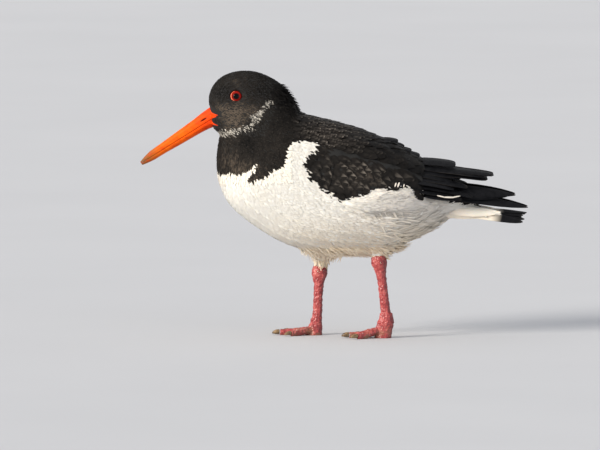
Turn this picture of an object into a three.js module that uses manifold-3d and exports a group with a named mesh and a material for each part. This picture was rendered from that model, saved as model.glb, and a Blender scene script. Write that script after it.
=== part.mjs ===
// A life-size oystercatcher, standing on both feet with its bill pointed down and its wings closed.
// Millimetres, +Z up. The bird faces -X, its left side is -Y, and its soles rest on Z = 0.
import * as THREE from "three";
import { mergeVertices } from "three/addons/utils/BufferGeometryUtils.js";
import Module from "manifold-3d";

const wasm = await Module();
wasm.setup();

// Driving dimensions, in millimetres
const GAP = 0.3; // air between pieces that meet
const BODY_SIDES = 26;
const BODY_RINGS = 40;
const CORE_SIDES = 18;
const CORE_RINGS = 22;
const SECTION_POWER = 0.95; // below 1 the cross-sections are a little fuller than an ellipse
const EYE = { x: -80.4, z: 199.3, ball: 4.7, sunk: 2.7, ring: 4.1, thickness: 0.9, height: 0.91 };
const MOUTH_LINE = [[-158.4, 142.4], [-100, 179.2]];
const NOSTRIL = { x: -106.8, z: 178.6, across: 5.3, half: [3.6, 1.5, 0.75], slope: 0.58 };
const FACE_LINE = [[-98.6, 171.2], [-101.4, 188.8]];
const NECK_LINE = [[-94, 163], [-36, 203]];
const BREAST_LINE = [[-95, 132], [-26, 184.5]];
const TAIL_LINE = [[97, 90], [97, 120]];
const MANTLE_HALF = 15; // half the width of back that shows between the wings at their front
const MANTLE_FRONT = -20;
const MANTLE_REAR = 60; // where the wings meet over the back
const CLAW_LENGTH = 6.5;

// The plumage in the side view, from the bill's base over the head, neck and back to the rump.
// Each station runs from a point on the back's line to one on the front or belly line.
const PLUMAGE = [
  { top: [-101.4, 188.8], bottom: [-98.6, 171.2], half: 6.6, sag: 0 },
  { top: [-102.2, 197], bottom: [-95.4, 168.8], half: 10.8, sag: 0 },
  { top: [-98.6, 206.5], bottom: [-93, 166.6], half: 13.8, sag: 0 },
  { top: [-90.6, 214.2], bottom: [-93, 163.8], half: 15.8, sag: 0.02 },
  { top: [-79, 218.4], bottom: [-94, 159.8], half: 17.2, sag: 0.04 },
  { top: [-65.5, 218.8], bottom: [-95.2, 153.6], half: 18.2, sag: 0.06 },
  { top: [-52.5, 214.6], bottom: [-96.4, 146], half: 19.8, sag: 0.08 },
  { top: [-41.4, 207.2], bottom: [-96.6, 138], half: 22.6, sag: 0.1 },
  { top: [-33.8, 197.2], bottom: [-95.4, 130], half: 27, sag: 0.12 },
  { top: [-30, 188.6], bottom: [-93, 121.6], half: 32.5, sag: 0.14 },
  { top: [-24.5, 183.4], bottom: [-88.6, 112], half: 38, sag: 0.14 },
  { top: [-12, 180.2], bottom: [-79.6, 101.6], half: 42.5, sag: 0.13 },
  { top: [4, 176.4], bottom: [-61.5, 88], half: 45.5, sag: 0.12 },
  { top: [21, 171.6], bottom: [-39.5, 75.6], half: 47, sag: 0.1 },
  { top: [37, 165], bottom: [-12, 69.2], half: 47.5, sag: 0.08 },
  { top: [51, 160], bottom: [18, 68.2], half: 46, sag: 0.05 },
  { top: [64, 151.8], bottom: [44, 69.2], half: 42, sag: 0.02 },
  { top: [75, 146], bottom: [62, 78], half: 36, sag: 0 },
  { top: [86, 142], bottom: [79, 86.6], half: 29, sag: 0 },
  { top: [97, 138.4], bottom: [94, 97], half: 22, sag: 0 },
  { top: [108, 133.6], bottom: [108, 102], half: 15.5, sag: 0 },
  { top: [116, 129.6], bottom: [116, 103], half: 10.5, sag: 0 },
];

// The body beneath the folded wings, and the covert feathers that wrap the root of the tail
const CORE = [
  { top: [-24, 168], bottom: [-60, 124], half: 20, sag: 0 },
  { top: [-16, 171], bottom: [-52, 104], half: 30, sag: 0.1 },
  { top: [-4, 172.4], bottom: [-38, 90], half: 36, sag: 0.1 },
  { top: [10, 170.2], bottom: [-18, 80], half: 39, sag: 0.08 },
  { top: [24, 164.4], bottom: [4, 75], half: 40, sag: 0.06 },
  { top: [38, 156], bottom: [24, 74], half: 39, sag: 0.04 },
  { top: [52, 146], bottom: [42, 77], half: 35, sag: 0 },
  { top: [65, 135], bottom: [58, 83], half: 29, sag: 0 },
  { top: [77, 126], bottom: [72, 89], half: 23, sag: 0 },
  { top: [90, 118], bottom: [87, 95], half: 18, sag: 0 },
  { top: [104, 111.6], bottom: [102, 101], half: 16, sag: 0 },
  { top: [120, 107.4], bottom: [119, 102.2], half: 14.5, sag: 0 },
  { top: [133, 105], bottom: [133, 101.2], half: 12, sag: 0 },
  { top: [142, 103.6], bottom: [142, 100.6], half: 9, sag: 0 },
];

// The folded wing's edge in the side view, from its bend back along the flank and up over the back
const WING_EDGE = [
  [-25.5, 146],
  [-23.5, 140],
  [-19, 132.6],
  [-4, 121.4],
  [9, 115.6],
  [22, 120.6],
  [34, 126],
  [50, 127.6],
  [62, 126.4],
  [73, 117.2],
  [88, 115.8],
  [119, 114.6],
  [119, 152],
  [90, 156],
  [50, 172],
  [4, 182],
  [-19, 178],
  [-27, 158],
];

// The bill in the side view, from inside the face to its tip
const BILL = [
  { top: [-98, 190.6], bottom: [-92.6, 173.8], half: 6.5, sag: 0.05 },
  { top: [-106, 185.6], bottom: [-100.3, 171.8], half: 5.7, sag: 0.05 },
  { top: [-116.1, 177.6], bottom: [-109.4, 167.4], half: 4.9, sag: 0.05 },
  { top: [-130.2, 167.4], bottom: [-124.2, 158.8], half: 4, sag: 0 },
  { top: [-144.3, 157], bottom: [-139.6, 150.2], half: 3.1, sag: 0 },
  { top: [-150.4, 152.7], bottom: [-146, 146.1], half: 2.6, sag: 0 },
  { top: [-155, 148.2], bottom: [-151.8, 143.2], half: 2, sag: 0 },
  { top: [-158.8, 143.6], bottom: [-157.1, 141.1], half: 1.3, sag: 0 },
];

// Each leg's joints in the side view. The left leg stands behind, the right one in front.
const LEGS = {
  left: {
    y: -14,
    thigh: [[28, 84], [34, 73], [36.6, 64]],
    thighHalf: [[8, 7], [6.4, 5.4], [4.6, 3.9]],
    heelTop: 67.4,
    shank: [[36, 70], [36.9, 62.5], [38.6, 52], [40.6, 36], [42.2, 22], [43, 14]],
    ankleTop: 20.5,
    ankle: [[42.2, 24], [42.9, 15], [40.6, 6], [39.6, -2]],
    ankleHalf: [[4.3, 3], [6.2, 4.2], [7.2, 4.8], [6.8, 5]],
    toeRoot: [38.5, 6.5],
    toeEnd: 12.6,
  },
  right: {
    y: 14,
    thigh: [[-6, 80], [-9.5, 68], [-11.5, 55]],
    thighHalf: [[8.4, 7.4], [6.6, 5.6], [4.4, 3.8]],
    heelTop: 57.4,
    shank: [[-11.4, 60], [-11.8, 51.5], [-12.4, 42], [-13, 30], [-13.6, 17], [-14.4, 8]],
    ankleTop: 13.5,
    ankle: [[-13.8, 17], [-14.8, 8.5], [-16, 3], [-16.4, -2]],
    ankleHalf: [[4, 2.9], [5.4, 4], [6.4, 4.8], [6.4, 5]],
    toeRoot: [-17, 4.2],
    toeEnd: -44.3,
  },
};
const SHANK_HALF = [[4.2, 3.4], [5.7, 4.4], [4, 3.1], [3.7, 2.7], [4, 2.8], [5.2, 3.6]];
const TOES = [
  { name: "inner", spread: -0.58, share: 0.8, half: [2.5, 2.5] },
  { name: "middle", spread: 0, share: 1, half: [2.9, 2.8] },
  { name: "outer", spread: 0.55, share: 0.88, half: [2.6, 2.6] },
];

// The tiers of the wing's small feathers in the side view: where the first and last are rooted,
// how far each reaches, and how many there are. The upper tiers lie over the lower ones.
const TIERS = [
  { count: 4, first: [40, 125.5], last: [66, 121.5], reach: [34, -6.5], width: 12, lift: 0.9 },
  { count: 7, first: [-11, 134], last: [56, 132], reach: [21, -9], width: 14, lift: 1.3 },
  { count: 7, first: [-16, 146], last: [50, 140], reach: [15, -9], width: 12, lift: 1.3 },
  { count: 5, first: [-13, 157], last: [42, 150], reach: [19, -8], width: 13, lift: 1.4 },
  { count: 4, first: [-4, 166], last: [36, 158.5], reach: [22, -8], width: 14, lift: 1.4 },
];

// The long feathers at the wing's rear, from root to tip
const TERTIALS = [
  { from: [58, -9, 144.5], to: [99.5, -8.6, 142], width: 14 },
  { from: [60, -11, 143.5], to: [112, -9.6, 136], width: 15 },
  { from: [62, -14, 143.6], to: [123, -10.4, 134.6], width: 16 },
  { from: [66, -16, 140], to: [131, -9.8, 133.6], width: 14 },
];
const PRIMARIES = [
  { from: [74, -27, 121], to: [118, -15.4, 116.2], width: 11 },
  { from: [76, -26, 122], to: [127, -14, 115.2], width: 11 },
  { from: [78, -25, 123], to: [134.5, -12.6, 115], width: 12 },
  { from: [80, -24, 124.4], to: [141.6, -10.8, 116.2], width: 12 },
  { from: [82, -23, 125.6], to: [148.6, -9, 117], width: 12 },
  { from: [84, -22, 120], to: [158.74, -8, 106.8], width: 11 },
];
const TAIL = { feathers: 12, root: 8.5, spread: 19, length: 61, width: 9.6, top: 104.6, tip: 100.2 };

const UP = new THREE.Vector3(0, 0, 1);
const ACROSS = new THREE.Vector3(0, 1, 0);

// A three.js geometry as a closed solid, with the vertices that faces share merged
function toSolid(geometry) {
  const bare = geometry.clone();
  bare.deleteAttribute("normal");
  bare.deleteAttribute("uv");
  const merged = mergeVertices(bare, 1e-4);
  const triVerts = new Uint32Array(merged.index.array);
  const vertProperties = merged.attributes.position.array;
  const solid = new wasm.Manifold(new wasm.Mesh({ numProp: 3, vertProperties, triVerts }));
  if (solid.volume() > 0) return solid;
  for (let i = 0; i < triVerts.length; i += 3) {
    triVerts.set([triVerts[i], triVerts[i + 2], triVerts[i + 1]], i);
  }
  return new wasm.Manifold(new wasm.Mesh({ numProp: 3, vertProperties, triVerts }));
}

// The largest closed surface of a solid, as a geometry
function toGeometry(solid) {
  const whole = solid.decompose().reduce((a, b) => (b.volume() > a.volume() ? b : a));
  const mesh = whole.getMesh();
  const geometry = new THREE.BufferGeometry();
  geometry.setAttribute("position", new THREE.Float32BufferAttribute(mesh.vertProperties, 3));
  geometry.setIndex(new THREE.BufferAttribute(mesh.triVerts, 1));
  geometry.computeVertexNormals();
  return geometry;
}

function rounded(value, power) {
  return Math.sign(value) * Math.abs(value) ** power;
}

// A function that gives the middle, reach and half width of a body's section at t from 0 to 1
function sectionsOf(stations) {
  const tops = new THREE.SplineCurve(stations.map((s) => new THREE.Vector2(...s.top)));
  const bottoms = new THREE.SplineCurve(stations.map((s) => new THREE.Vector2(...s.bottom)));
  const widths = new THREE.SplineCurve(stations.map((s) => new THREE.Vector2(s.half, s.sag)));
  return (t, swell = 0) => {
    const top = tops.getPoint(t);
    const bottom = bottoms.getPoint(t);
    const width = widths.getPoint(t);
    const middle = top.clone().add(bottom).multiplyScalar(0.5);
    const reach = top.clone().sub(middle);
    reach.setLength(reach.length() + swell);
    return { middle, reach, half: width.x + swell, sag: width.y };
  };
}

// A closed body through its sections: a cylinder whose rings are warped onto them
function loft(sections, sides, rings, swell = 0) {
  const shape = new THREE.CylinderGeometry(1, 1, 1, sides, rings);
  const position = shape.attributes.position;
  for (let i = 0; i < position.count; i++) {
    const t = Math.round((0.5 - position.getY(i)) * rings) / rings;
    const section = sections(t, swell);
    const spread = Math.hypot(position.getX(i), position.getZ(i));
    const angle = Math.atan2(position.getX(i), position.getZ(i));
    const up = spread * rounded(Math.cos(angle), SECTION_POWER);
    const side = spread * rounded(Math.sin(angle), SECTION_POWER) * (1 - section.sag * up);
    const x = section.middle.x + section.reach.x * up;
    const z = section.middle.y + section.reach.y * up;
    position.setXYZ(i, x, section.half * side, z);
  }
  return toSolid(shape);
}

// A closed limb along a path, with its half sizes across the path and along the reference
function limb(path, sizes, sides, rings, reference) {
  const curve = new THREE.CatmullRomCurve3(path.map((point) => new THREE.Vector3(...point)));
  const girths = new THREE.SplineCurve(sizes.map((size) => new THREE.Vector2(...size)));
  const shape = new THREE.CylinderGeometry(1, 1, 1, sides, rings);
  const position = shape.attributes.position;
  for (let i = 0; i < position.count; i++) {
    const t = Math.round((0.5 - position.getY(i)) * rings) / rings;
    const along = curve.getTangent(t);
    const across = new THREE.Vector3().crossVectors(along, reference).normalize();
    const up = new THREE.Vector3().crossVectors(across, along).normalize();
    const girth = girths.getPoint(t);
    const point = curve.getPoint(t);
    point.addScaledVector(across, position.getX(i) * girth.x);
    point.addScaledVector(up, position.getZ(i) * girth.y);
    position.setXYZ(i, point.x, point.y, point.z);
  }
  return toSolid(shape);
}

// A feather: a thin plate along a bent spine, narrower at its root and round at its tip.
// Its two faces are split into the same triangles.
const LONG_ROWS = [[0, 0.62], [0.3, 0.95], [0.62, 1], [0.88, 0.78], [1, 0.26]];
const SHORT_ROWS = [[0, 0.7], [0.5, 1], [0.84, 0.84], [1, 0.34]];

function feather({ from, to, facing, width, bow = 0.04, thick = 0.8, columns = 2, rowShares = LONG_ROWS }) {
  const bend = from.clone().add(to).multiplyScalar(0.5);
  bend.addScaledVector(facing, bow * from.distanceTo(to));
  const spine = new THREE.QuadraticBezierCurve3(from, bend, to);
  const rows = rowShares.length;
  const points = [];
  for (const face of [1, -1]) {
    for (let row = 0; row < rows; row++) {
      const [reach, share] = rowShares[row];
      const centre = spine.getPoint(reach);
      const across = spine.getTangent(reach).cross(facing).normalize();
      const half = (thick / 2) * (row === rows - 1 ? 0.5 : 1) * face;
      for (let column = 0; column < columns; column++) {
        const side = (2 * column) / (columns - 1) - 1;
        const point = centre.clone().addScaledVector(across, (side * width * share) / 2);
        point.addScaledVector(facing, half - 0.07 * width * side * side * (columns - 2));
        points.push(...point.toArray());
      }
    }
  }
  const under = rows * columns;
  const faces = [];
  const quad = (a, b, c, d) => faces.push(a, b, c, b, d, c);
  for (let row = 0; row < rows - 1; row++) {
    for (let column = 0; column < columns - 1; column++) {
      const corner = row * columns + column;
      quad(corner, corner + columns, corner + 1, corner + columns + 1);
      faces.push(under + corner, under + corner + 1, under + corner + columns);
      faces.push(under + corner + columns, under + corner + 1, under + corner + columns + 1);
    }
    const left = row * columns;
    const right = left + columns - 1;
    quad(left, under + left, left + columns, under + left + columns);
    quad(right, right + columns, under + right, under + right + columns);
  }
  for (let column = 0; column < columns - 1; column++) {
    const end = (rows - 1) * columns + column;
    quad(column, column + 1, under + column, under + column + 1);
    quad(end, under + end, end + 1, under + end + 1);
  }
  const plate = new THREE.BufferGeometry();
  plate.setAttribute("position", new THREE.Float32BufferAttribute(points, 3));
  plate.setIndex(faces);
  return toSolid(plate);
}

// The two sides of a cut along a line in the side view, each half the gap away from it.
// The side on the left of the line's direction comes first.
function partAlong(solid, [from, to]) {
  const direction = new THREE.Vector2(to[0] - from[0], to[1] - from[1]).normalize();
  const offset = direction.x * from[1] - direction.y * from[0];
  const left = solid.trimByPlane([-direction.y, 0, direction.x], offset + GAP / 2);
  const right = solid.trimByPlane([direction.y, 0, -direction.x], GAP / 2 - offset);
  return [left, right];
}

const plumageSections = sectionsOf(PLUMAGE);
const coreSections = sectionsOf(CORE);

// The point of the plumage's left side over a point of the side view, and its outward direction
function halfWidthAt(x, z) {
  const point = new THREE.Vector2(x, z);
  const aside = (t) => {
    const section = plumageSections(t);
    return section.reach.cross(point.clone().sub(section.middle));
  };
  const steps = 60;
  for (let i = 0; i < steps; i++) {
    let low = i / steps;
    let high = (i + 1) / steps;
    if (aside(low) * aside(high) > 0) continue;
    for (let turn = 0; turn < 20; turn++) {
      const middle = (low + high) / 2;
      if (aside(low) * aside(middle) > 0) low = middle;
      else high = middle;
    }
    const section = plumageSections(low);
    const up = section.reach.dot(point.clone().sub(section.middle)) / section.reach.lengthSq();
    if (Math.abs(up) >= 1) continue;
    const cosine = Math.abs(up) ** (1 / SECTION_POWER);
    const side = Math.sqrt(1 - cosine ** 2) ** SECTION_POWER;
    return section.half * side * (1 - section.sag * up);
  }
  return 0;
}

function plumageAt(x, z) {
  const step = 1;
  const slopeX = (halfWidthAt(x + step, z) - halfWidthAt(x - step, z)) / (2 * step);
  const slopeZ = (halfWidthAt(x, z + step) - halfWidthAt(x, z - step)) / (2 * step);
  const point = new THREE.Vector3(x, -halfWidthAt(x, z), z);
  return { point, normal: new THREE.Vector3(-slopeX, -1, -slopeZ).normalize() };
}

// The points of an outline, listed anticlockwise, each moved inwards
function inset(points, gap) {
  return points.map((point, i) => {
    const here = new THREE.Vector2(...point);
    const last = new THREE.Vector2(...points.at(i - 1));
    const next = new THREE.Vector2(...points[(i + 1) % points.length]);
    const before = here.clone().sub(last).normalize();
    const after = next.sub(here).normalize();
    const along = before.clone().add(after).normalize();
    const reach = gap / along.dot(before);
    return new THREE.Vector2(here.x - along.y * reach, here.y + along.x * reach);
  });
}

// The left wing's share of the plumage: the side view's outline, pushed out from the middle.
// Its inner face slants, so that the mantle shows between the wings and narrows to the rear.
function wingBlock(gap) {
  const outline = new THREE.Shape(inset(WING_EDGE, gap));
  const block = new THREE.ExtrudeGeometry(outline, { depth: 80, bevelEnabled: false });
  block.rotateX(Math.PI / 2);
  const slant = new THREE.Vector2(MANTLE_REAR - MANTLE_FRONT, MANTLE_HALF).normalize();
  const offset = MANTLE_FRONT * slant.y + MANTLE_HALF * slant.x;
  const outer = toSolid(block).trimByPlane([slant.y, -slant.x, 0], offset + gap);
  return outer.trimByPlane([0, -1, 0], gap);
}

// The body without its wings, swollen all round by the gap
function bodyWithin(gap) {
  const whole = loft(plumageSections, BODY_SIDES, BODY_RINGS, gap);
  const share = wingBlock(gap);
  const core = loft(coreSections, CORE_SIDES, CORE_RINGS, gap);
  return whole.subtract(share).subtract(share.mirror([0, 1, 0])).add(core);
}

const group = new THREE.Group();
const rightSide = new THREE.Group();
rightSide.scale.y = -1;
group.add(rightSide);

const BLACK = { color: 0x2b2723, roughness: 0.8 };
const WHITE = { color: 0xeee8dc, roughness: 0.85 };
const ORANGE = { color: 0xd9421c, roughness: 0.45 };
const RED = { color: 0x8c150c, roughness: 0.1 };
const PINK = { color: 0xb8514b, roughness: 0.5 };
const HORN = { color: 0x4a3a28, roughness: 0.5 };

function place(name, solid, look, parent = group) {
  const mesh = new THREE.Mesh(toGeometry(solid), new THREE.MeshStandardMaterial({ ...look, metalness: 0 }));
  mesh.name = name;
  parent.add(mesh);
}

const plumage = loft(plumageSections, BODY_SIDES, BODY_RINGS);
const bodyRoom = bodyWithin(GAP);

// The eye and the ring of bare skin round it, with what the head gives up to make room for them
function eyeAt(swell) {
  const { point, normal } = plumageAt(EYE.x, EYE.z);
  const turn = new THREE.Quaternion().setFromUnitVectors(UP, normal);
  const ball = new THREE.SphereGeometry(EYE.ball + swell, 16, 10);
  ball.translate(0, 0, -EYE.sunk);
  ball.applyQuaternion(turn);
  ball.translate(point.x, point.y, point.z);
  const ring = new THREE.TorusGeometry(EYE.ring, EYE.thickness + swell, 5, 18);
  ring.scale(1, EYE.height, 1);
  ring.applyQuaternion(turn);
  ring.translate(point.x, point.y, point.z);
  return [toSolid(ball), toSolid(ring)];
}

const [eyeBall, eyeRing] = eyeAt(0);
const [ballRoom, ringRoom] = eyeAt(GAP);
const eyeRoom = ballRoom.add(ringRoom);
for (const [side, parent] of [["left", group], ["right", rightSide]]) {
  place("eye_" + side, eyeBall, RED, parent);
  place("eyelid_" + side, eyeRing.subtract(ballRoom), ORANGE, parent);
}

// The body without its wings, in four lengths
const [head, headless] = partAlong(bodyWithin(0), NECK_LINE);
const [neck, trunk] = partAlong(headless, BREAST_LINE);
const [torso, tailRoot] = partAlong(trunk, TAIL_LINE);
place("head", head.subtract(eyeRoom).subtract(eyeRoom.mirror([0, 1, 0])), BLACK);
place("neck", neck, BLACK);
place("torso", torso, WHITE);

function wholeTail() {
  let tail = tailRoot;
  for (let i = 0; i < TAIL.feathers; i++) {
    const side = (2 * i) / (TAIL.feathers - 1) - 1;
    const out = Math.abs(side);
    const from = new THREE.Vector3(TAIL_LINE[0][0] + 3, TAIL.root * side, TAIL.top - 1.4 * out);
    const reach = TAIL.length - 4.5 * out ** 2;
    const to = new THREE.Vector3(TAIL_LINE[0][0] + reach, TAIL.spread * side, TAIL.tip - 5 * out);
    const facing = new THREE.Vector3(0.05, 0.25 * side, 1).normalize();
    tail = tail.add(feather({ from, to, facing, width: TAIL.width, columns: 2 }));
  }
  return tail;
}
place("tail", wholeTail(), WHITE);

// The bill, parted along the line of the mouth, with a slit for each nostril
function nostril(side) {
  const slit = new THREE.SphereGeometry(1, 8, 6);
  slit.scale(...NOSTRIL.half);
  slit.rotateY(-NOSTRIL.slope);
  slit.translate(NOSTRIL.x, side * NOSTRIL.across, NOSTRIL.z);
  return toSolid(slit);
}

const bill = partAlong(loft(sectionsOf(BILL), 12, 11), FACE_LINE)[0];
const [upperBill, lowerBill] = partAlong(bill, MOUTH_LINE);
place("bill_upper", upperBill.subtract(nostril(-1)).subtract(nostril(1)), ORANGE);
place("bill_lower", lowerBill, ORANGE);

// The folded wing: its share of the plumage outside the core, out to the tips of its long feathers
function coverts(tier) {
  const roots = new THREE.LineCurve(new THREE.Vector2(...tier.first), new THREE.Vector2(...tier.last));
  const made = [];
  for (let i = 0; i < tier.count; i++) {
    const root = roots.getPoint(i / (tier.count - 1));
    const start = plumageAt(root.x, root.y);
    const end = plumageAt(root.x + tier.reach[0], root.y + tier.reach[1]);
    const from = start.point.addScaledVector(start.normal, -1.3);
    const to = end.point.addScaledVector(end.normal, tier.lift);
    const facing = start.normal.add(end.normal).normalize();
    made.push(feather({ from, to, facing, width: tier.width, bow: 0.03, thick: 0.7, rowShares: SHORT_ROWS }));
  }
  return made;
}

function foldedWing() {
  const long = (facing) => ({ from, to, width }) =>
    feather({
      from: new THREE.Vector3(...from),
      to: new THREE.Vector3(...to),
      facing: facing.clone().normalize(),
      width,
      columns: 2,
    });
  const feathers = TIERS.flatMap(coverts);
  feathers.push(...TERTIALS.map(long(new THREE.Vector3(0.1, -0.32, 0.94))));
  feathers.push(...PRIMARIES.map(long(new THREE.Vector3(0.1, -0.8, 0.6))));
  const shell = plumage.intersect(wingBlock(GAP));
  const wing = feathers.reduce((whole, each) => whole.add(each), shell);
  return wing.subtract(bodyRoom).trimByPlane([0, -1, 0], GAP / 2);
}
place("wing_left", foldedWing(), BLACK);
place("wing_right", foldedWing(), BLACK, rightSide);

// A leg: feathered thigh, scaly shank and a foot with three toes, each with its claw
const bellyRoom = loft(plumageSections, BODY_SIDES, BODY_RINGS, GAP);

function inPlane(path, y) {
  return path.map(([x, z]) => [x, y, z]);
}

function toePath(leg, toe, from, to) {
  const outward = Math.sign(leg.y) * toe.spread;
  const length = (leg.toeRoot[0] - leg.toeEnd) * toe.share;
  const heights = [leg.toeRoot[1], 0.6 * leg.toeRoot[1] + 1, 2.4, 2.3];
  const curve = new THREE.SplineCurve(heights.map((height, i) => new THREE.Vector2(i / 3, height)));
  return [0, 1 / 3, 2 / 3, 1].map((part) => {
    const reach = length * (from + (to - from) * part);
    const height = curve.getPoint(from + (to - from) * part).y;
    return [leg.toeRoot[0] - reach * Math.cos(outward), leg.y + reach * Math.sin(outward), height];
  });
}

function toeEndPlane(leg, toe, beyond) {
  const outward = Math.sign(leg.y) * toe.spread;
  const normal = [-Math.cos(outward), Math.sin(outward), 0];
  const length = (leg.toeRoot[0] - leg.toeEnd) * toe.share;
  return [normal, normal[0] * leg.toeRoot[0] + normal[1] * leg.y + length + beyond];
}

function footOf(leg) {
  let foot = limb(inPlane(leg.ankle, leg.y), leg.ankleHalf, 12, 6, ACROSS);
  for (const toe of TOES) {
    const sizes = [[toe.half[0] * 1.25, toe.half[1] * 1.1], toe.half, [toe.half[0] * 0.85, toe.half[1] * 0.9]];
    const [normal, offset] = toeEndPlane(leg, toe, 0);
    const digit = limb(toePath(leg, toe, 0, 1.05), sizes, 8, 5, UP);
    foot = foot.add(digit.trimByPlane(normal.map((value) => -value), -offset));
  }
  return partAlong(foot.trimByPlane([0, 0, 1], 0), [[0, leg.ankleTop], [1, leg.ankleTop]])[1];
}

function clawOf(leg, toe) {
  const [normal, offset] = toeEndPlane(leg, toe, GAP);
  const [x, y] = toePath(leg, toe, 0, 1)[3];
  const path = [[-1, 2.6], [1.5, 2.7], [0.7 * CLAW_LENGTH, 2.3], [CLAW_LENGTH, 1.6]];
  const spine = path.map(([reach, height]) => [x + normal[0] * reach, y + normal[1] * reach, height]);
  const half = toe.half[0] * 0.75;
  const claw = limb(spine, [[half, half], [half, half], [half * 0.8, half * 0.8], [0.5, 0.6]], 6, 4, UP);
  return claw.trimByPlane(normal, offset).trimByPlane([0, 0, 1], 0);
}

for (const [side, leg] of Object.entries(LEGS)) {
  const cut = [[0, leg.heelTop], [1, leg.heelTop]];
  const thigh = partAlong(limb(inPlane(leg.thigh, leg.y), leg.thighHalf, 12, 5, ACROSS), cut)[0];
  place("thigh_" + side, thigh.subtract(bellyRoom), WHITE);
  const shank = partAlong(limb(inPlane(leg.shank, leg.y), SHANK_HALF, 12, 12, ACROSS), cut)[1];
  place("shank_" + side, partAlong(shank, [[0, leg.ankleTop], [1, leg.ankleTop]])[0], PINK);
  place("foot_" + side, footOf(leg), PINK);
  for (const toe of TOES) place("claw_" + toe.name + "_" + side, clawOf(leg, toe), HORN);
}

export default group;
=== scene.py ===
import math

import bpy
import numpy as np
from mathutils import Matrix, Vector, noise
from mathutils.kdtree import KDTree


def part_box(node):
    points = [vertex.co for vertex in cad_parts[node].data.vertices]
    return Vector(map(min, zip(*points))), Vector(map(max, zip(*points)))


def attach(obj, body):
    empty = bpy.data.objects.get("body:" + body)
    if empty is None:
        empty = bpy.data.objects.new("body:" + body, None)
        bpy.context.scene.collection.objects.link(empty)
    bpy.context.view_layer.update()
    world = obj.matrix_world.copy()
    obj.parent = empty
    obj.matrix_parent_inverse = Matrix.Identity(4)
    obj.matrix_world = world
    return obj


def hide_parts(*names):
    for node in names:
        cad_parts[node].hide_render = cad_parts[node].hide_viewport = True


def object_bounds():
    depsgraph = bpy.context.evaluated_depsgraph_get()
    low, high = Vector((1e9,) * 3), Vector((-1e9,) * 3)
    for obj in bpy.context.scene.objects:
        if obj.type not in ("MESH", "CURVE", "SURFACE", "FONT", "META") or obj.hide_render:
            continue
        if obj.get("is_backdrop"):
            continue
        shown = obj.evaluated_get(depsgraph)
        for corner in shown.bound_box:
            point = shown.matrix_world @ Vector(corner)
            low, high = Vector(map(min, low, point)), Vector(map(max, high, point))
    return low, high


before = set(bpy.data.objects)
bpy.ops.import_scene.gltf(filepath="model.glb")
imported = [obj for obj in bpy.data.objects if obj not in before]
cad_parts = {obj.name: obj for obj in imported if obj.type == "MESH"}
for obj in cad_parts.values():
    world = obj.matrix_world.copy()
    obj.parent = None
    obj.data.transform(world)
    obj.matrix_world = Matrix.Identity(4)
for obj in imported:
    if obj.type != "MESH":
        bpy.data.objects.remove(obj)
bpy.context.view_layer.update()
bpy.ops.object.select_all(action="DESELECT")
mm = 0.001
photoTilt = math.radians(4.5)  # how far the photo looks down, so the near side sits lower in it


def pick(*objects):
    bpy.ops.object.select_all(action="DESELECT")
    for thing in objects:
        thing.select_set(True)
    bpy.context.view_layer.objects.active = objects[0]


def addToScene(name, data):
    made = bpy.data.objects.new(name, data)
    bpy.context.scene.collection.objects.link(made)
    return made


def finishModifiers(thing):
    pick(thing)
    for modifier in list(thing.modifiers):
        bpy.ops.object.modifier_apply(modifier=modifier.name)


def perVertex(mesh, key):
    flat = np.empty(len(mesh.vertices) * 3, np.float32)
    mesh.vertices.foreach_get(key, flat)
    return flat.reshape(-1, 3).astype(float)


def verticesOf(mesh):
    return perVertex(mesh, "co")


def normalsOf(mesh):
    return perVertex(mesh, "normal")


def setVertices(mesh, points):
    mesh.vertices.foreach_set("co", points.astype(np.float32).ravel())
    mesh.update()


def writeLayer(layer, key, values):
    layer.data.foreach_set(key, values.astype(np.float32).ravel())


def unit(vectors):
    return vectors / np.maximum(np.linalg.norm(vectors, axis=-1, keepdims=True), 1e-12)


def smoothStep(low, high, value):
    t = np.clip((value - low) / (high - low), 0, 1)
    return t * t * (3 - 2 * t)


def glow(flat, middle, reach):
    # 1 at the middle, fading over the reach
    return np.exp(-(((flat - middle) / reach) ** 2).sum(1))


def editMode(on=True):
    bpy.ops.object.mode_set(mode="EDIT" if on else "OBJECT")


def copyOf(name, nodes, swell=0.0, cutBehind=None):
    # joined copies of frame nodes, their loose triangles merged; cutBehind gives a node the x where it ends
    copies = []
    for node in nodes:
        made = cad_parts[node].copy()
        made.data = made.data.copy()
        made.parent = None
        for key in list(made.keys()):
            del made[key]
        bpy.context.scene.collection.objects.link(made)
        made.hide_render = made.hide_viewport = False
        pick(made)
        editMode()
        bpy.ops.mesh.select_all(action="SELECT")
        bpy.ops.mesh.remove_doubles(threshold=2e-6)
        end = (cutBehind or {}).get(node)
        if end is not None:
            bpy.ops.mesh.select_all(action="SELECT")
            cut = {"plane_co": (end * mm, 0, 0), "plane_no": (1, 0, 0)}
            bpy.ops.mesh.bisect(**cut, clear_outer=True, use_fill=True)
        editMode(False)
        if swell:
            push = made.modifiers.new("push", "DISPLACE")
            push.strength = swell * mm
            push.mid_level = 0
            finishModifiers(made)
        copies.append(made)
    pick(*copies)
    if len(copies) > 1:
        bpy.ops.object.join()
    joined = bpy.context.view_layer.objects.active
    joined.name = name
    joined.data.name = name
    joined.data.materials.clear()
    return joined


def melt(thing, voxel, rounds):
    # one even closed surface over the joined copies, then smoothed
    remesh = thing.modifiers.new("remesh", "REMESH")
    remesh.mode = "VOXEL"
    remesh.voxel_size = voxel * mm
    relax = thing.modifiers.new("relax", "SMOOTH")
    relax.factor = 0.5
    relax.iterations = rounds
    finishModifiers(thing)
    keepLargest(thing)
    pick(thing)
    bpy.ops.object.shade_smooth()


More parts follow.
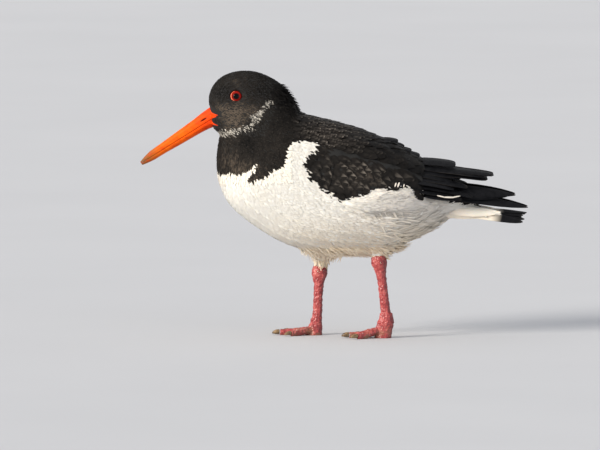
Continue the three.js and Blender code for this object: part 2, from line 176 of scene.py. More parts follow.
def keepLargest(thing):
    # each vertex takes the lowest label among its neighbours until the labels tell the surfaces apart
    mesh = thing.data
    edges = np.empty(len(mesh.edges) * 2, np.int64)
    mesh.edges.foreach_get("vertices", edges)
    edges = edges.reshape(-1, 2)
    label = np.arange(len(mesh.vertices))
    while True:
        low = np.minimum(label[edges[:, 0]], label[edges[:, 1]])
        before = label.copy()
        np.minimum.at(label, edges[:, 0], low)
        np.minimum.at(label, edges[:, 1], low)
        label = label[label]
        if (label == before).all():
            break
    names, counts = np.unique(label, return_counts=True)
    loose = label != names[counts.argmax()]
    if loose.any():
        pick(thing)
        editMode()
        bpy.ops.mesh.select_all(action="DESELECT")
        editMode(False)
        mesh.vertices.foreach_set("select", loose)
        editMode()
        bpy.ops.mesh.delete(type="VERT")
        editMode(False)


# short ways to write shader nodes


def place(tree, kind, inputs=None, **settings):
    # one shader node; a value that is a socket is linked, anything else is typed in
    made = tree.nodes.new(kind)
    for key, value in settings.items():
        setattr(made, key, value)
    for key, value in (inputs or {}).items():
        if isinstance(value, bpy.types.NodeSocket):
            tree.links.new(value, made.inputs[key])
        else:
            made.inputs[key].default_value = value
    return made


def sums(tree, operation, a, b=None, clamp=False):
    inputs = {0: a}
    if b is not None:
        inputs[1] = b
    return place(tree, "ShaderNodeMath", inputs, operation=operation, use_clamp=clamp).outputs[0]


def plus(tree, a, b, clamp=False):
    return sums(tree, "ADD", a, b, clamp)


def minus(tree, a, b):
    return sums(tree, "SUBTRACT", a, b)


def times(tree, a, b, clamp=False):
    return sums(tree, "MULTIPLY", a, b, clamp)


def sizeOf(tree, a):
    return sums(tree, "ABSOLUTE", a)


def squared(tree, a):
    return sums(tree, "POWER", a, 2.0)


def vectorSum(tree, operation, a, b=None):
    inputs = {0: a}
    if b is not None:
        inputs[1] = b
    return place(tree, "ShaderNodeVectorMath", inputs, operation=operation).outputs[0]


def span(tree, value, low, high, start=0.0, end=1.0):
    # start where the value is low, end where it is high, and held beyond them
    inputs = {0: value, 1: low, 2: high, 3: start, 4: end}
    return place(tree, "ShaderNodeMapRange", inputs, clamp=True).outputs[0]


def objectPoint(tree):
    return place(tree, "ShaderNodeTexCoord").outputs["Object"]


def axesOf(tree, vector):
    return place(tree, "ShaderNodeSeparateXYZ", {0: vector}).outputs


def plumeFacts(tree):
    # the plume attribute: share of white, tone, and a third fact: pale edges and painted glints on dark
    # feathers, painted fold shade on white ones
    colour = place(tree, "ShaderNodeAttribute", attribute_name="plume").outputs["Color"]
    return place(tree, "ShaderNodeSeparateColor", {0: colour}).outputs


def blendOf(tree, share, a, b):
    made = place(tree, "ShaderNodeMix", data_type="RGBA")
    for index, value in ((0, share), (6, a), (7, b)):
        if isinstance(value, bpy.types.NodeSocket):
            tree.links.new(value, made.inputs[index])
        elif index:
            made.inputs[index].default_value = (*value, 1)
        else:
            made.inputs[index].default_value = value
    return made.outputs[2]


def ramp(tree, share, stops):
    made = place(tree, "ShaderNodeValToRGB", {0: share})
    points = made.color_ramp.elements
    while len(points) < len(stops):
        points.new(0.5)
    for point, (at, colour) in zip(points, stops):
        point.position = at
        point.color = (*colour, 1)
    return made.outputs[0]


def newMaterial(name):
    made = bpy.data.materials.new(name)
    made.use_nodes = True
    made.node_tree.nodes.clear()
    return made, made.node_tree


def surface(tree, colour, bump=None, roughness=0.6, **sockets):
    shader = place(tree, "ShaderNodeBsdfPrincipled", {"Base Color": colour, "Roughness": roughness})
    for key, value in sockets.items():
        shader.inputs[key.replace("_", " ")].default_value = value
    if bump is not None:
        tree.links.new(bump, shader.inputs["Normal"])
    out = place(tree, "ShaderNodeOutputMaterial")
    tree.links.new(shader.outputs[0], out.inputs[0])


def grain(tree, scale, detail, stretch=None):
    where = objectPoint(tree)
    if stretch:
        where = place(tree, "ShaderNodeMapping", {0: where, "Scale": stretch}).outputs[0]
    inputs = {"Vector": where, "Scale": scale, "Detail": float(detail), "Roughness": 0.5}
    return place(tree, "ShaderNodeTexNoise", inputs).outputs[0]


def bumpOf(tree, height, strength, distance):
    inputs = {"Height": height, "Strength": strength, "Distance": distance * mm}
    return place(tree, "ShaderNodeBump", inputs).outputs[0]


# markings: where the plumage is white, in mm on the bird's side view

markings = {
    "line": [
        (-102, 134.7), (-94.9, 134.7), (-92.1, 131.9), (-86.3, 133.1), (-82.3, 132.3), (-79, 131),
        (-75, 132.3), (-70.9, 135.1), (-66.9, 136.8), (-63.6, 140), (-62.5, 143.3), (-63.3, 137.5),
        (-66.9, 132.7), (-70.9, 128.7), (-72.6, 125.8), (-68.6, 125), (-62.1, 127.4), (-56.4, 129.1),
        (-53.1, 131.9), (-49.9, 135.1), (-45.8, 136.8), (-41.8, 138.3), (-39.4, 141.6), (-38.5, 146.5),
        (-37.7, 151.4), (-36.1, 156.2), (-32.9, 159.1), (-31.2, 160.4), (-27.2, 159.8), (-20.7, 159.8),
        (-16.6, 159.4), (-14.8, 156.2), (-15.4, 152.1), (-17.5, 149.7), (-20.7, 148.9), (-21.9, 144.8),
        (-25.2, 140.8), (-21.9, 136), (-19.9, 130.3), (-12.6, 125.4), (-3.7, 116.4), (8.2, 111.3),
        (14.8, 113.6), (22.5, 114.8), (31.7, 118.1), (38.3, 120.7), (51.3, 121.4), (63.1, 122),
        (68.3, 118.7), (71.6, 114.1), (84, 115.5), (89.2, 113.6), (91.8, 109.6), (103.6, 110.3),
        (116.7, 109.6), (170, 109.6),
    ],
    "below": [(170, -60), (-170, -60), (-170, 134.7)],
    "strap": [
        (-94.3, 166), (-88.6, 166), (-82.8, 167.7), (-73, 169.3), (-67.2, 171.8), (-64, 178.3),
        (-60.7, 182.4), (-55.8, 187.4), (-52.5, 192.3),
    ],
    "strapHalf": 2.2,
    "strapChance": 0.85,
    "strapDense": [((-64.5, 179.5), (3.6, 3), 0.9), ((-90, 165.5), (7, 2.6), 0.5)],  # place, reach, chance
    "strapWhite": (0.05, 0.62),
}


def sideView(points):
    upright = points[:, 2] * math.cos(photoTilt) - np.abs(points[:, 1]) * math.sin(photoTilt)
    return np.stack([points[:, 0], upright], 1) / mm


def insideOf(outline, flat):
    inside = np.zeros(len(flat), bool)
    corners = np.array(outline, float)
    for a, b in zip(corners, np.roll(corners, -1, 0)):
        if a[1] == b[1]:
            continue
        crosses = (a[1] > flat[:, 1]) != (b[1] > flat[:, 1])
        inside ^= crosses & (flat[:, 0] < (b[0] - a[0]) * (flat[:, 1] - a[1]) / (b[1] - a[1]) + a[0])
    return inside


def nearLine(line, flat):
    # distance to the line
    best = np.full(len(flat), 1e9)
    for a, b in zip(np.array(line[:-1], float), np.array(line[1:], float)):
        along = np.clip(((flat - a) @ (b - a)) / ((b - a) @ (b - a)), 0, 1)
        best = np.minimum(best, np.linalg.norm(flat - a - along[:, None] * (b - a), axis=1))
    return best


def whiteShare(points):
    return insideOf(markings["line"] + markings["below"], sideView(points)).astype(float)


# the skin under the plumage, one closed surface; lengths in mm

skinLook = {
    "nodes": ["head", "neck", "torso", "tail", "wing_left", "wing_right", "thigh_left", "thigh_right"],
    "ends": {"wing_left": 74, "wing_right": 74, "tail": 127},
    "swell": 0.6,
    "voxel": 1.5,
    "rounds": 8,
    "coat": 1.5,  # how far the skin lies inside the plumage
    "faceCoat": 0.2,
    "faceMiddle": (-0.098, 0, 0.188),  # m
    "faceReach": (22, 55),
    "legCoat": 0.1,
    "legTop": (66, 76),
    "whiteRise": 0.4,
    "tuft": [  # flank feathers that bulge over the wing's edge, the first four points along their fold
        (6, 106.5), (27.9, 98.8), (64, 100.5), (88, 108), (71.6, 114.1), (63.1, 121), (38.3, 120),
        (22.5, 114.8), (8.2, 111.3),
    ],
    "tuftRise": 2.6,
    "tuftSlopes": (4.5, 5),  # widths of its slopes at the fold and at the wing
    "tuftSide": 8,  # it starts this far from the middle
    "creaseDepth": 0.9,
    "creaseWidth": 2.2,
    "creaseEnds": (8, 84),
}
tuftFold = skinLook["tuft"][:4]

skin = copyOf("skin", skinLook["nodes"], skinLook["swell"], skinLook["ends"])
melt(skin, skinLook["voxel"], skinLook["rounds"])
skinPoints, skinNormals = verticesOf(skin.data), normalsOf(skin.data)
faceNear, faceFar = np.array(skinLook["faceReach"]) * mm
fromFace = np.linalg.norm(skinPoints - np.array(skinLook["faceMiddle"]), axis=1)
faceward = 1 - smoothStep(faceNear, faceFar, fromFace)
depth = skinLook["coat"] + (skinLook["faceCoat"] - skinLook["coat"]) * faceward
depth = depth - skinLook["whiteRise"] * whiteShare(skinPoints)
legLow, legHigh = np.array(skinLook["legTop"]) * mm
legward = 1 - smoothStep(legLow, legHigh, skinPoints[:, 2])
depth = depth + (skinLook["legCoat"] - depth) * legward
flat = sideView(skinPoints)
inTuft = insideOf(skinLook["tuft"], flat)
fromCrease = nearLine(tuftFold, flat)
fromWing = nearLine(skinLook["tuft"][3:] + skinLook["tuft"][:1], flat)
foldSlope, wingSlope = skinLook["tuftSlopes"]
slopes = smoothStep(0, foldSlope, fromCrease) * smoothStep(0, wingSlope, fromWing)
rise = skinLook["tuftRise"] * slopes * inTuft
creased = (flat[:, 0] > skinLook["creaseEnds"][0]) * (flat[:, 0] < skinLook["creaseEnds"][1])
rise -= skinLook["creaseDepth"] * np.exp(-(fromCrease / skinLook["creaseWidth"]) ** 2) * creased
depth = depth - rise * (np.abs(skinPoints[:, 1]) > skinLook["tuftSide"] * mm)
setVertices(skin.data, skinPoints - skinNormals * depth[:, None] * mm)
print("skin:", len(skin.data.polygons), "faces")

unwrapLook = {
    "spine": [  # through head, neck, body and tail, in mm
        (-112, 176), (-80, 190), (-66, 172), (-58, 148), (-40, 128), (0, 120), (60, 115), (110, 107),
        (175, 104),
    ],
    "margin": 0.02,
    "patch": 0.003,  # how wide a feather's own patch is
}


def onUnwrap(points):
    # place on the skin's own unwrap: along the spine's line, and round it
    spine = np.array(unwrapLook["spine"], float)
    flat = points[:, [0, 2]] / mm
    best, along, lean = np.full(len(flat), 1e9), np.zeros(len(flat)), np.zeros(len(flat))
    lengths = np.linalg.norm(np.diff(spine, axis=0), axis=1)
    start = np.concatenate([[0], np.cumsum(lengths)])
    for k, (a, b) in enumerate(zip(spine[:-1], spine[1:])):
        t = np.clip(((flat - a) @ (b - a)) / lengths[k] ** 2, 0, 1)
        gap = flat - a - t[:, None] * (b - a)
        far = np.linalg.norm(gap, axis=1)
        up = np.array([-(b - a)[1], (b - a)[0]]) / lengths[k]
        nearer = far < best
        best[nearer] = far[nearer]
        along[nearer] = (start[k] + t * lengths[k])[nearer]
        lean[nearer] = (gap @ up)[nearer]
    turn = np.arctan2(points[:, 1] / mm, lean) / (2 * math.pi) + 0.5
    margin = unwrapLook["margin"]
    return margin + (1 - 2 * margin) * np.stack([along / start[-1], turn], 1)


# how the plumage lies: (x, z) in mm and the way it runs there
lieOfPlumage = [
    ((-100, 178), (0.9, 0.0)), ((-98, 190), (0.6, 0.8)), ((-97, 203), (0.45, 0.9)),
    ((-88, 214), (0.9, 0.45)), ((-72, 219), (1, 0)), ((-52, 214), (0.8, -0.6)),
    ((-40, 203), (0.45, -0.9)), ((-32, 189), (0.7, -0.7)), ((-84, 184), (1, -0.3)),
    ((-65, 192), (0.9, -0.5)), ((-96, 168), (0.8, -0.5)), ((-84, 168), (0.9, -0.5)),
    ((-95, 155), (0.2, -1)), ((-66, 168), (0.6, -0.8)), ((-96, 136), (0.1, -1)),
    ((-70, 142), (0.45, -0.9)), ((-90, 112), (0.5, -0.85)), ((-62, 122), (0.75, -0.65)),
    ((-40, 150), (0.8, -0.6)), ((-20, 170), (0.9, -0.4)), ((5, 172), (0.97, -0.25)),
    ((40, 162), (0.95, -0.3)), ((80, 143), (0.96, -0.28)), ((-64, 88), (0.85, -0.55)),
    ((-35, 74), (0.97, -0.2)), ((5, 67), (1, 0)), ((45, 68), (1, 0.05)),
    ((72, 80), (0.93, 0.3)), ((-20, 110), (0.95, -0.3)), ((20, 108), (1, -0.1)),
    ((60, 106), (1, 0.02)), ((100, 102), (1, 0.1)), ((130, 104), (1, 0.1)),
    ((30, 60), (0.1, -1)), ((-10, 58), (-0.1, -1)),
]


def liesAt(points, normals):
    # the ways around a point, each weighed by how near it is, laid flat on the skin
    flat = points[:, [0, 2]] / mm
    total = np.zeros((len(flat), 3))
    for (x, z), (dx, dz) in lieOfPlumage:
        share = 1 / (((flat - (x, z)) ** 2).sum(1) + 30) ** 1.6
        total += share[:, None] * (np.array([dx, 0, dz]) / math.hypot(dx, dz))
    total = unit(total)
    total -= (total * normals).sum(1)[:, None] * normals
    return unit(total)


def scatterOver(count, seed, keep):
    # even random points over the skin where keep(points) is true, with their normals
    mesh = skin.data
    draw = np.random.default_rng(seed)
    mesh.calc_loop_triangles()
    corners = np.empty(len(mesh.loop_triangles) * 3, np.int32)
    mesh.loop_triangles.foreach_get("vertices", corners)
    corners = corners.reshape(-1, 3)
    points, normals = verticesOf(mesh), normalsOf(mesh)
    a, b, c = (points[corners[:, k]] for k in range(3))
    middle = (a + b + c) / 3
    area = np.linalg.norm(np.cross(b - a, c - a), axis=1) / 2
    area = area * (keep(middle).astype(float) + 1e-9)
    chosen = draw.choice(len(area), size=int(count), p=area / area.sum())
    u, v = draw.random(int(count)), draw.random(int(count))
    over = u + v > 1
    u[over], v[over] = 1 - u[over], 1 - v[over]
    spot = a[chosen] + u[:, None] * (b - a)[chosen] + v[:, None] * (c - a)[chosen]
    first, second, third = (normals[corners[chosen, k]] for k in range(3))
    facing = (1 - u - v)[:, None] * first + u[:, None] * second + v[:, None] * third
    return spot, unit(facing), area.sum()


def spacedRoots(gap, seed, keep, least=None):
    # roots at least gap mm apart where keep(points) is true; where gap is a function of the points,
    # least sets how many places are tried
    _, _, area = scatterOver(10, seed, keep)
    tries = min(120000, 5.5 * area / ((least or gap) * mm) ** 2)
    points, normals, _ = scatterOver(tries, seed, keep)
    good = keep(points)
    points, normals = points[good], normals[good]
    gaps = gap(points) * mm if callable(gap) else np.full(len(points), gap * mm)
    lookup = KDTree(len(points))
    for index, point in enumerate(points):
        lookup.insert(point, index)
    lookup.balance()
    free, kept = np.ones(len(points), bool), []
    for index in range(len(points)):
        if free[index]:
            kept.append(index)
            for _, other, _ in lookup.find_range(points[index], gaps[index]):
                free[other] = False
    return points[kept], normals[kept]


def wrapped(points, offset):
    # the nearest points of the skin, raised by offset
    mesh = bpy.data.meshes.new("probe")
    mesh.vertices.add(len(points))
    setVertices(mesh, points)
    probe = addToScene("probe", mesh)
    shrink = probe.modifiers.new("shrink", "SHRINKWRAP")
    shrink.target = skin
    shrink.wrap_method = "TARGET_PROJECT"
    shrink.wrap_mode = "ABOVE_SURFACE"
    shrink.offset = offset
    seen = probe.evaluated_get(bpy.context.evaluated_depsgraph_get()).to_mesh()
    found = verticesOf(seen)
    bpy.data.objects.remove(probe)
    bpy.data.meshes.remove(mesh)
    return found


def onSkin(points):
    low = wrapped(points, 0)
    return low, unit(wrapped(points, 1 * mm) - low)


def addMaps(mesh, vane, patch):
    # places on the vane itself, and the feather's patch in the bake map
    writeLayer(mesh.uv_layers.new(name="Vane"), "uv", vane)
    writeLayer(mesh.uv_layers.new(name="OFBake"), "uv", patch)


def addPlume(mesh, white, tone, edge):
    # facts for every vertex: share of white, tone, and a third: pale edges and painted glints on dark
    # feathers, painted fold shade on white ones
    values = np.stack([white, tone, edge, np.ones(len(white))], 1)
    writeLayer(mesh.attributes.new("plume", "FLOAT_COLOR", "POINT"), "color", values)


def growFeathers(name, roots, normals, lies, look, white, tone, sizes=None, hug=True, fringeAndPaintedLight=None, seed=1):
    # closed vanes, each a row of ridge and edge points over a flat underside, joined in one mesh
    draw = np.random.default_rng(seed)
    count = len(roots)
    share = 1 + look.get("vary", 0.2) * draw.uniform(-1, 1, count) if sizes is None else sizes
    lengths, widths = look["length"] * share * mm, look["width"] / 2 * share * mm
    turn = draw.normal(0, look["turn"], count)
    ahead, aside = np.cos(turn)[:, None], np.sin(turn)[:, None]
    sides = np.cross(normals, lies)
    lies, sides = lies * ahead + sides * aside, sides * ahead - lies * aside
    rows, outline = np.array(look["rows"]), np.array(look["outline"])
    across = np.array([-1.0, 0.0, 1.0])
    far = (lengths[:, None] * rows)[:, :, None, None]
    wide = widths[:, None, None] * outline[None, :, None] * across[None, None, :]
    flat = roots[:, None, None, :] + lies[:, None, None, :] * far + sides[:, None, None, :] * wide[..., None]
    if hug:
        ground, up = onSkin(flat.reshape(-1, 3))
        ground, up = ground.reshape(flat.shape), up.reshape(flat.shape)
    else:
        ground, up = flat, np.broadcast_to(normals[:, None, None, :], flat.shape)
    lift = look["lift"] * mm * (1 + 0.3 * draw.uniform(-1, 1, count))
    sunk = 0.3 * mm  # the roots lie this far in the skin
    rise = lift[:, None] * rows[None, :] ** look.get("curl", 1.0) - sunk
    arch = look["arch"] * mm * outline[None, :, None] * (1 - np.abs(across))[None, None, :]
    roll = look["roll"] * mm * draw.uniform(-1, 1, count)
    roll = roll[:, None, None] * across[None, None, :] * outline[None, :, None]
    points = ground + up * (rise[:, :, None] + arch + roll)[..., None]
    size = len(rows)
    each = size * 3  # points in one vane
    faces = []
    for k in range(size - 1):
        left, mid, right = 3 * k, 3 * k + 1, 3 * k + 2
        faces.append((left, mid, mid + 3, left + 3))
        faces.append((mid, right, right + 3, mid + 3))
        faces.append((right, left, left + 3, right + 3))
    faces = np.array(faces)[:, ::-1]
    ends = np.array([(0, 1, 2), (each - 1, each - 2, each - 3)])[:, ::-1]
    start = (np.arange(count) * each)[:, None, None]
    quads = (faces[None] + start).reshape(-1, 4)
    tris = (ends[None] + start).reshape(-1, 3)
    mesh = bpy.data.meshes.new(name)
    mesh.vertices.add(count * each)
    mesh.vertices.foreach_set("co", points.astype(np.float32).ravel())
    corner = np.concatenate([quads.ravel(), tris.ravel()])
    mesh.loops.add(len(corner))
    mesh.loops.foreach_set("vertex_index", corner.astype(np.int32))
    starts = np.concatenate([np.arange(len(quads)) * 4, len(quads) * 4 + np.arange(len(tris)) * 3])
    mesh.polygons.add(len(starts))
    mesh.polygons.foreach_set("loop_start", starts.astype(np.int32))
    mesh.update(calc_edges=True)
    half = np.tile(across, size) * np.repeat(outline, 3)
    local = np.stack([0.5 + 0.5 * half, np.repeat(rows, 3)], 1)[corner % each]
    addMaps(mesh, local, onUnwrap(roots)[corner // each] + unwrapLook["patch"] * (local - 0.5))
    edge = np.zeros(count) if fringeAndPaintedLight is None else fringeAndPaintedLight
    addPlume(mesh, *(np.repeat(fact, each) for fact in (white, tone, edge)))
    lay = up * (0.25 if look.get("hang") else 1.0)
    writeLayer(mesh.attributes.new("lay", "FLOAT_VECTOR", "POINT"), "vector", lay)
    made = addToScene(name, mesh)
    pick(made)
    bpy.ops.object.shade_smooth_by_angle(angle=math.radians(70))
    print(name + ":", count, "feathers,", len(quads) * 2 + len(tris), "triangles")
    return made


# plumage finishes; places in metres
plumageLook = {
    "black": [(0.0018, 0.0017, 0.0018), (0.017, 0.0142, 0.0122)],
    # the brown at high tone, partly the plumage's own brown and partly painted sunlight
    "brownAndSunlit": (0.14, 0.108, 0.080),
    # pale feather edges, and the painted highlight of the glints on mantle and coverts
    "fringeAndPaintedLight": (0.20, 0.172, 0.142),
    "white": [(0.88, 0.815, 0.695), (0.91, 0.86, 0.765)],
    "stain": (0.94, 0.755, 0.53),
    "stainHeight": (0.106, 0.074),  # none above, all below
    "stainRear": (-0.075, -0.01),  # none in front, all behind
    "shade": (0.72, 0.645, 0.56),
    "shadeRear": (-0.005, 0.045),
    "shadeEnd": (0.088, 0.112),
    # painted shade in the fold under the flank tuft
    "creaseShadeColour": (0.40, 0.35, 0.29),
}


def plumageMaterial(
    name, roughness=0.8, rimWidth=0.2, barbs=60, glint=0.0, soft=0.0, melted=(0.8, 3.0), tint=(1, 1, 1)
):
    made, tree = newMaterial(name)
    parts = plumeFacts(tree)
    xy = axesOf(tree, place(tree, "ShaderNodeUVMap", uv_map="Vane").outputs[0])
    off = sizeOf(tree, minus(tree, xy[0], 0.5))
    edge = sums(tree, "MAXIMUM", times(tree, off, 2.0), xy[1])
    rim = span(tree, edge, 1 - rimWidth, 1.0)
    lines = sums(tree, "SINE", times(tree, minus(tree, xy[1], times(tree, off, 0.9)), barbs))
    mottle = grain(tree, 330, 3)
    broad = grain(tree, 60, 2)
    uneven = times(tree, minus(tree, mottle, 0.35), 0.5)
    tone = plus(tree, times(tree, parts[1], 0.8), uneven, clamp=True)
    deep, midBlack = (np.multiply(black, tint) for black in plumageLook["black"])
    # the tone runs from black to brown, and where it is high it is partly painted light
    dark = ramp(tree, tone, [(0.0, deep), (0.5, midBlack), (1.0, plumageLook["brownAndSunlit"])])
    if glint:  # a slanted wedge of light near the tip
        slant = plus(tree, times(tree, xy[1], 0.45), 0.2)
        aside = times(tree, sizeOf(tree, minus(tree, xy[0], slant)), 1.5)
        wedge = minus(tree, minus(tree, 1.0, xy[1]), aside)
        shine = times(tree, times(tree, wedge, 7.0, clamp=True), span(tree, xy[1], 0.5, 0.72))
        rim = sums(tree, "MAXIMUM", rim, times(tree, shine, glint))
    # pale edges and painted glint highlights on the dark plumage
    dark = blendOf(tree, times(tree, rim, parts[2], clamp=True), dark, plumageLook["fringeAndPaintedLight"])
    mixed = plus(tree, times(tree, parts[1], 0.5), times(tree, broad, 0.5))
    pale = blendOf(tree, mixed, *plumageLook["white"])
    where = axesOf(tree, objectPoint(tree))
    low = span(tree, where[2], *plumageLook["stainHeight"])
    rear = span(tree, where[0], *plumageLook["stainRear"])
    stained = times(tree, times(tree, low, rear), span(tree, broad, 0.3, 0.65, 0.6, 1.0))
    # painted shade over the rear of the white plumage, fading out on the undertail
    rump = span(tree, where[0], *plumageLook["shadeEnd"], 1.0, 0.1)
    shaded = span(tree, where[0], *plumageLook["shadeRear"], 0.0, 0.85)
    pale = blendOf(tree, times(tree, shaded, rump), pale, plumageLook["shade"])
    pale = blendOf(tree, times(tree, stained, 0.95), pale, plumageLook["stain"])
    # painted shade in the fold under the flank tuft, on the white plumage
    pale = blendOf(tree, parts[2], pale, plumageLook["creaseShadeColour"])
    colour = blendOf(tree, parts[0], dark, pale)
    # the skin's own way under the feather joins in, so that the barbs read as one soft coat
    lay = place(tree, "ShaderNodeAttribute", attribute_name="lay").outputs["Vector"]
    lean = plus(tree, times(tree, parts[0], melted[1] - melted[0]), melted[0])
    lay = place(tree, "ShaderNodeVectorMath", {0: lay, "Scale": lean}, operation="SCALE").outputs[0]
    bump = vectorSum(tree, "NORMALIZE", vectorSum(tree, "ADD", bumpOf(tree, lines, 0.2, 0.1), lay))
    light = {"Specular_IOR_Level": 0.1, "Subsurface_Weight": soft, "Subsurface_Radius": (0.005, 0.004, 0.003)}
    surface(tree, colour, bump, roughness, **light)
    return made


def addPiece(piece, material, slot, *nodes):
    piece.data.materials.clear()
    piece.data.materials.append(material)
    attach(piece, "root")
    if nodes:
        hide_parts(*nodes)


wingFinish = {"barbs": 110, "roughness": 0.5, "melted": (0.5, 3.0)}
featherFinish = plumageMaterial("small feathers")
whiteFinish = plumageMaterial("white feathers", soft=0.35)
mantleFinish = plumageMaterial("mantle", rimWidth=0.14, glint=0.4, **wingFinish)
covertFinish = plumageMaterial("wing coverts", rimWidth=0.05, glint=0.8, **wingFinish)
# the flight feathers' black is bluer, a painted bluish sheen
flightFinish = plumageMaterial("flight feathers", 0.5, rimWidth=0.06, barbs=420, tint=(0.85, 1.0, 1.35))

skinFinish, tree = newMaterial("skin under plumage")
under = blendOf(tree, plumeFacts(tree)[0], (0.006, 0.0055, 0.005), (0.82, 0.78, 0.70))
surface(tree, under, bumpOf(tree, grain(tree, 900, 3), 0.4, 0.3), 0.85)

skinWhite = whiteShare(verticesOf(skin.data))
addPlume(skin.data, skinWhite, skinWhite * 0, skinWhite * 0)
limbs = ["wing_left", "wing_right", "thigh_left", "thigh_right"]
addPiece(skin, skinFinish, "dark_plumage", "head", "neck", "torso", *limbs, "tail")

# small body feathers, region by region; lengths and gaps in mm
bodyFeathers = {
    "face": {
        "gap": 0.8, "length": 2.9, "width": 1.05, "lift": 0.55, "arch": 0.1, "roll": 0.06, "turn": 0.16,
        "rows": [0, 0.5, 1], "outline": [0.6, 1, 0.3],
    },
    "neck": {
        "gap": 1.1, "length": 5.6, "width": 1.6, "lift": 0.9, "arch": 0.12, "roll": 0.08, "turn": 0.15,
        "rows": [0, 0.4, 0.8, 1], "outline": [0.5, 1, 0.8, 0.2],
    },
    "breast": {
        "gap": 1.15, "length": 7.5, "width": 2.3, "lift": 0.5, "arch": 0.05, "roll": 0.02, "turn": 0.17,
        "rows": [0, 0.4, 0.8, 1], "outline": [0.5, 1, 0.75, 0.15],
    },
    "belly": {
        "gap": 1.32, "length": 9.5, "width": 2.5, "lift": 0.5, "arch": 0.05, "roll": 0.03, "turn": 0.2,
        "rows": [0, 0.4, 0.8, 1], "outline": [0.5, 1, 0.7, 0.12],
    },
    "mantle": {
        "gap": 3.0, "length": 11.5, "width": 6.2, "lift": 1.5, "arch": 0.32, "roll": 0.3, "turn": 0.14,
        "rows": [0, 0.3, 0.6, 0.85, 1], "outline": [0.35, 0.85, 1, 0.75, 0.2], "least": 1.6,
    },
}

# the spots add the plumage's own brown and also painted light where cheek, breast and wing face the key
# light; those below zero darken, partly as painted shade
toneAndLightSpots = [  # x, z, reach and how much browner and lighter
    (-83, 182, 15, 0.66), (-65, 187, 10, 0.42), (-95, 186, 8, 0.36), (-76, 208, 13, 0.2),
    (-86, 172, 9, 0.2), (-82, 146, 17, 0.52), (-66, 134, 13, 0.34), (-86, 210, 11, 0.22),
    (-99, 197, 7, 0.1), (-14, 167, 18, 0.3), (-50, 158, 12, 0.26), (16, 138, 22, 0.34),
    (46, 141, 9, 0.12), (-92, 197, 6.5, -0.52), (-66, 198, 7, -0.16), (-48, 200, 14, -0.2),
    (-74, 158, 9, -0.42), (26, 159, 13, -0.32), (66, 138, 20, -0.18), (-68, 174, 5, -0.2),
]

wingArea = [
    (-14.8, 157), (-15.4, 152.1), (-20.7, 148.9), (-21.9, 144.8), (-25.2, 140.8), (-21.9, 136),
    (-19.9, 130.3), (-12.6, 125.4), (-3.7, 116.4), (8.2, 111.3), (14.8, 113.6), (22.5, 114.8),
    (31.7, 118.1), (38.3, 120.7), (51.3, 121.4), (63.1, 122), (68.3, 118.7), (71.6, 114.1), (92, 112),
    (118, 112), (110, 124), (60, 140), (0, 156),
]
wingEdge = wingArea[:17]  # the front and the lower edge
backLine = ([-60, -34, -20, -8, 0, 60, 110], [185, 165, 162.5, 157, 154, 139, 125])  # the mantle lies above
bareCorners = [
    [
        (-103, 187.5), (-100.8, 187.5), (-97.3, 184.4), (-92.6, 183.4), (-92.8, 181.9), (-97.6, 178.2),
        (-103, 177),
    ],
    [(-101, 176.3), (-98.6, 176.2), (-95.4, 173.6), (-99.3, 171.4), (-101, 171.4)],
]


def toneAndLightAt(points, draw):
    # how brown and light the dark plumage is: more on cheek, breast, front mantle and mid wing, partly its
    # own brown and partly painted light
    flat = sideView(points)
    tone = np.full(len(points), 0.15)
    for x, z, reach, more in toneAndLightSpots:
        tone += more * glow(flat, (x, z), reach)
    patchy = np.array([noise.noise(Vector(p) * 260) for p in points])
    return np.clip(tone + 0.16 * patchy + draw.normal(0, 0.05, len(points)), 0, 1)


def regionOf(points):
    # 0 face, 1 neck, 2 breast, 3 belly and flanks, 4 mantle and scapulars, 5 wing
    flat = sideView(points)
    x, z = flat[:, 0], flat[:, 1]
    faceEnd = -58 + (z - 166) * 0.35
    region = np.full(len(points), 3)
    region[(x < -30) & (z > 95)] = 2
    region[(z > 128) & (x < -38)] = 1
    region[(z > 166) & (x < faceEnd)] = 0
    region[(x < -20) & (z > 180) & (x >= faceEnd)] = 1
    region[(x > -36) & (z > np.interp(x, *backLine))] = 4
    wing = insideOf(wingArea, flat) & (nearLine(wingEdge, flat) > 3.2)  # small feathers cover its edge
    region[wing & (np.abs(points[:, 1]) > 12 * mm)] = 5
    return region


def mantleSize(points):
    # the mantle's feathers are longer towards the rear
    return 0.8 + 1.0 * smoothStep(-30, 90, points[:, 0] / mm)


def creaseShade(points):
    # painted shade, darker in the fold under the flank tuft
    flat = sideView(points)
    fromFold = nearLine(tuftFold, flat) + 1.2 * (flat[:, 1] > 103)
    return 0.55 * np.exp(-(fromFold / 2.4) ** 2) * smoothStep(4, 22, flat[:, 0])


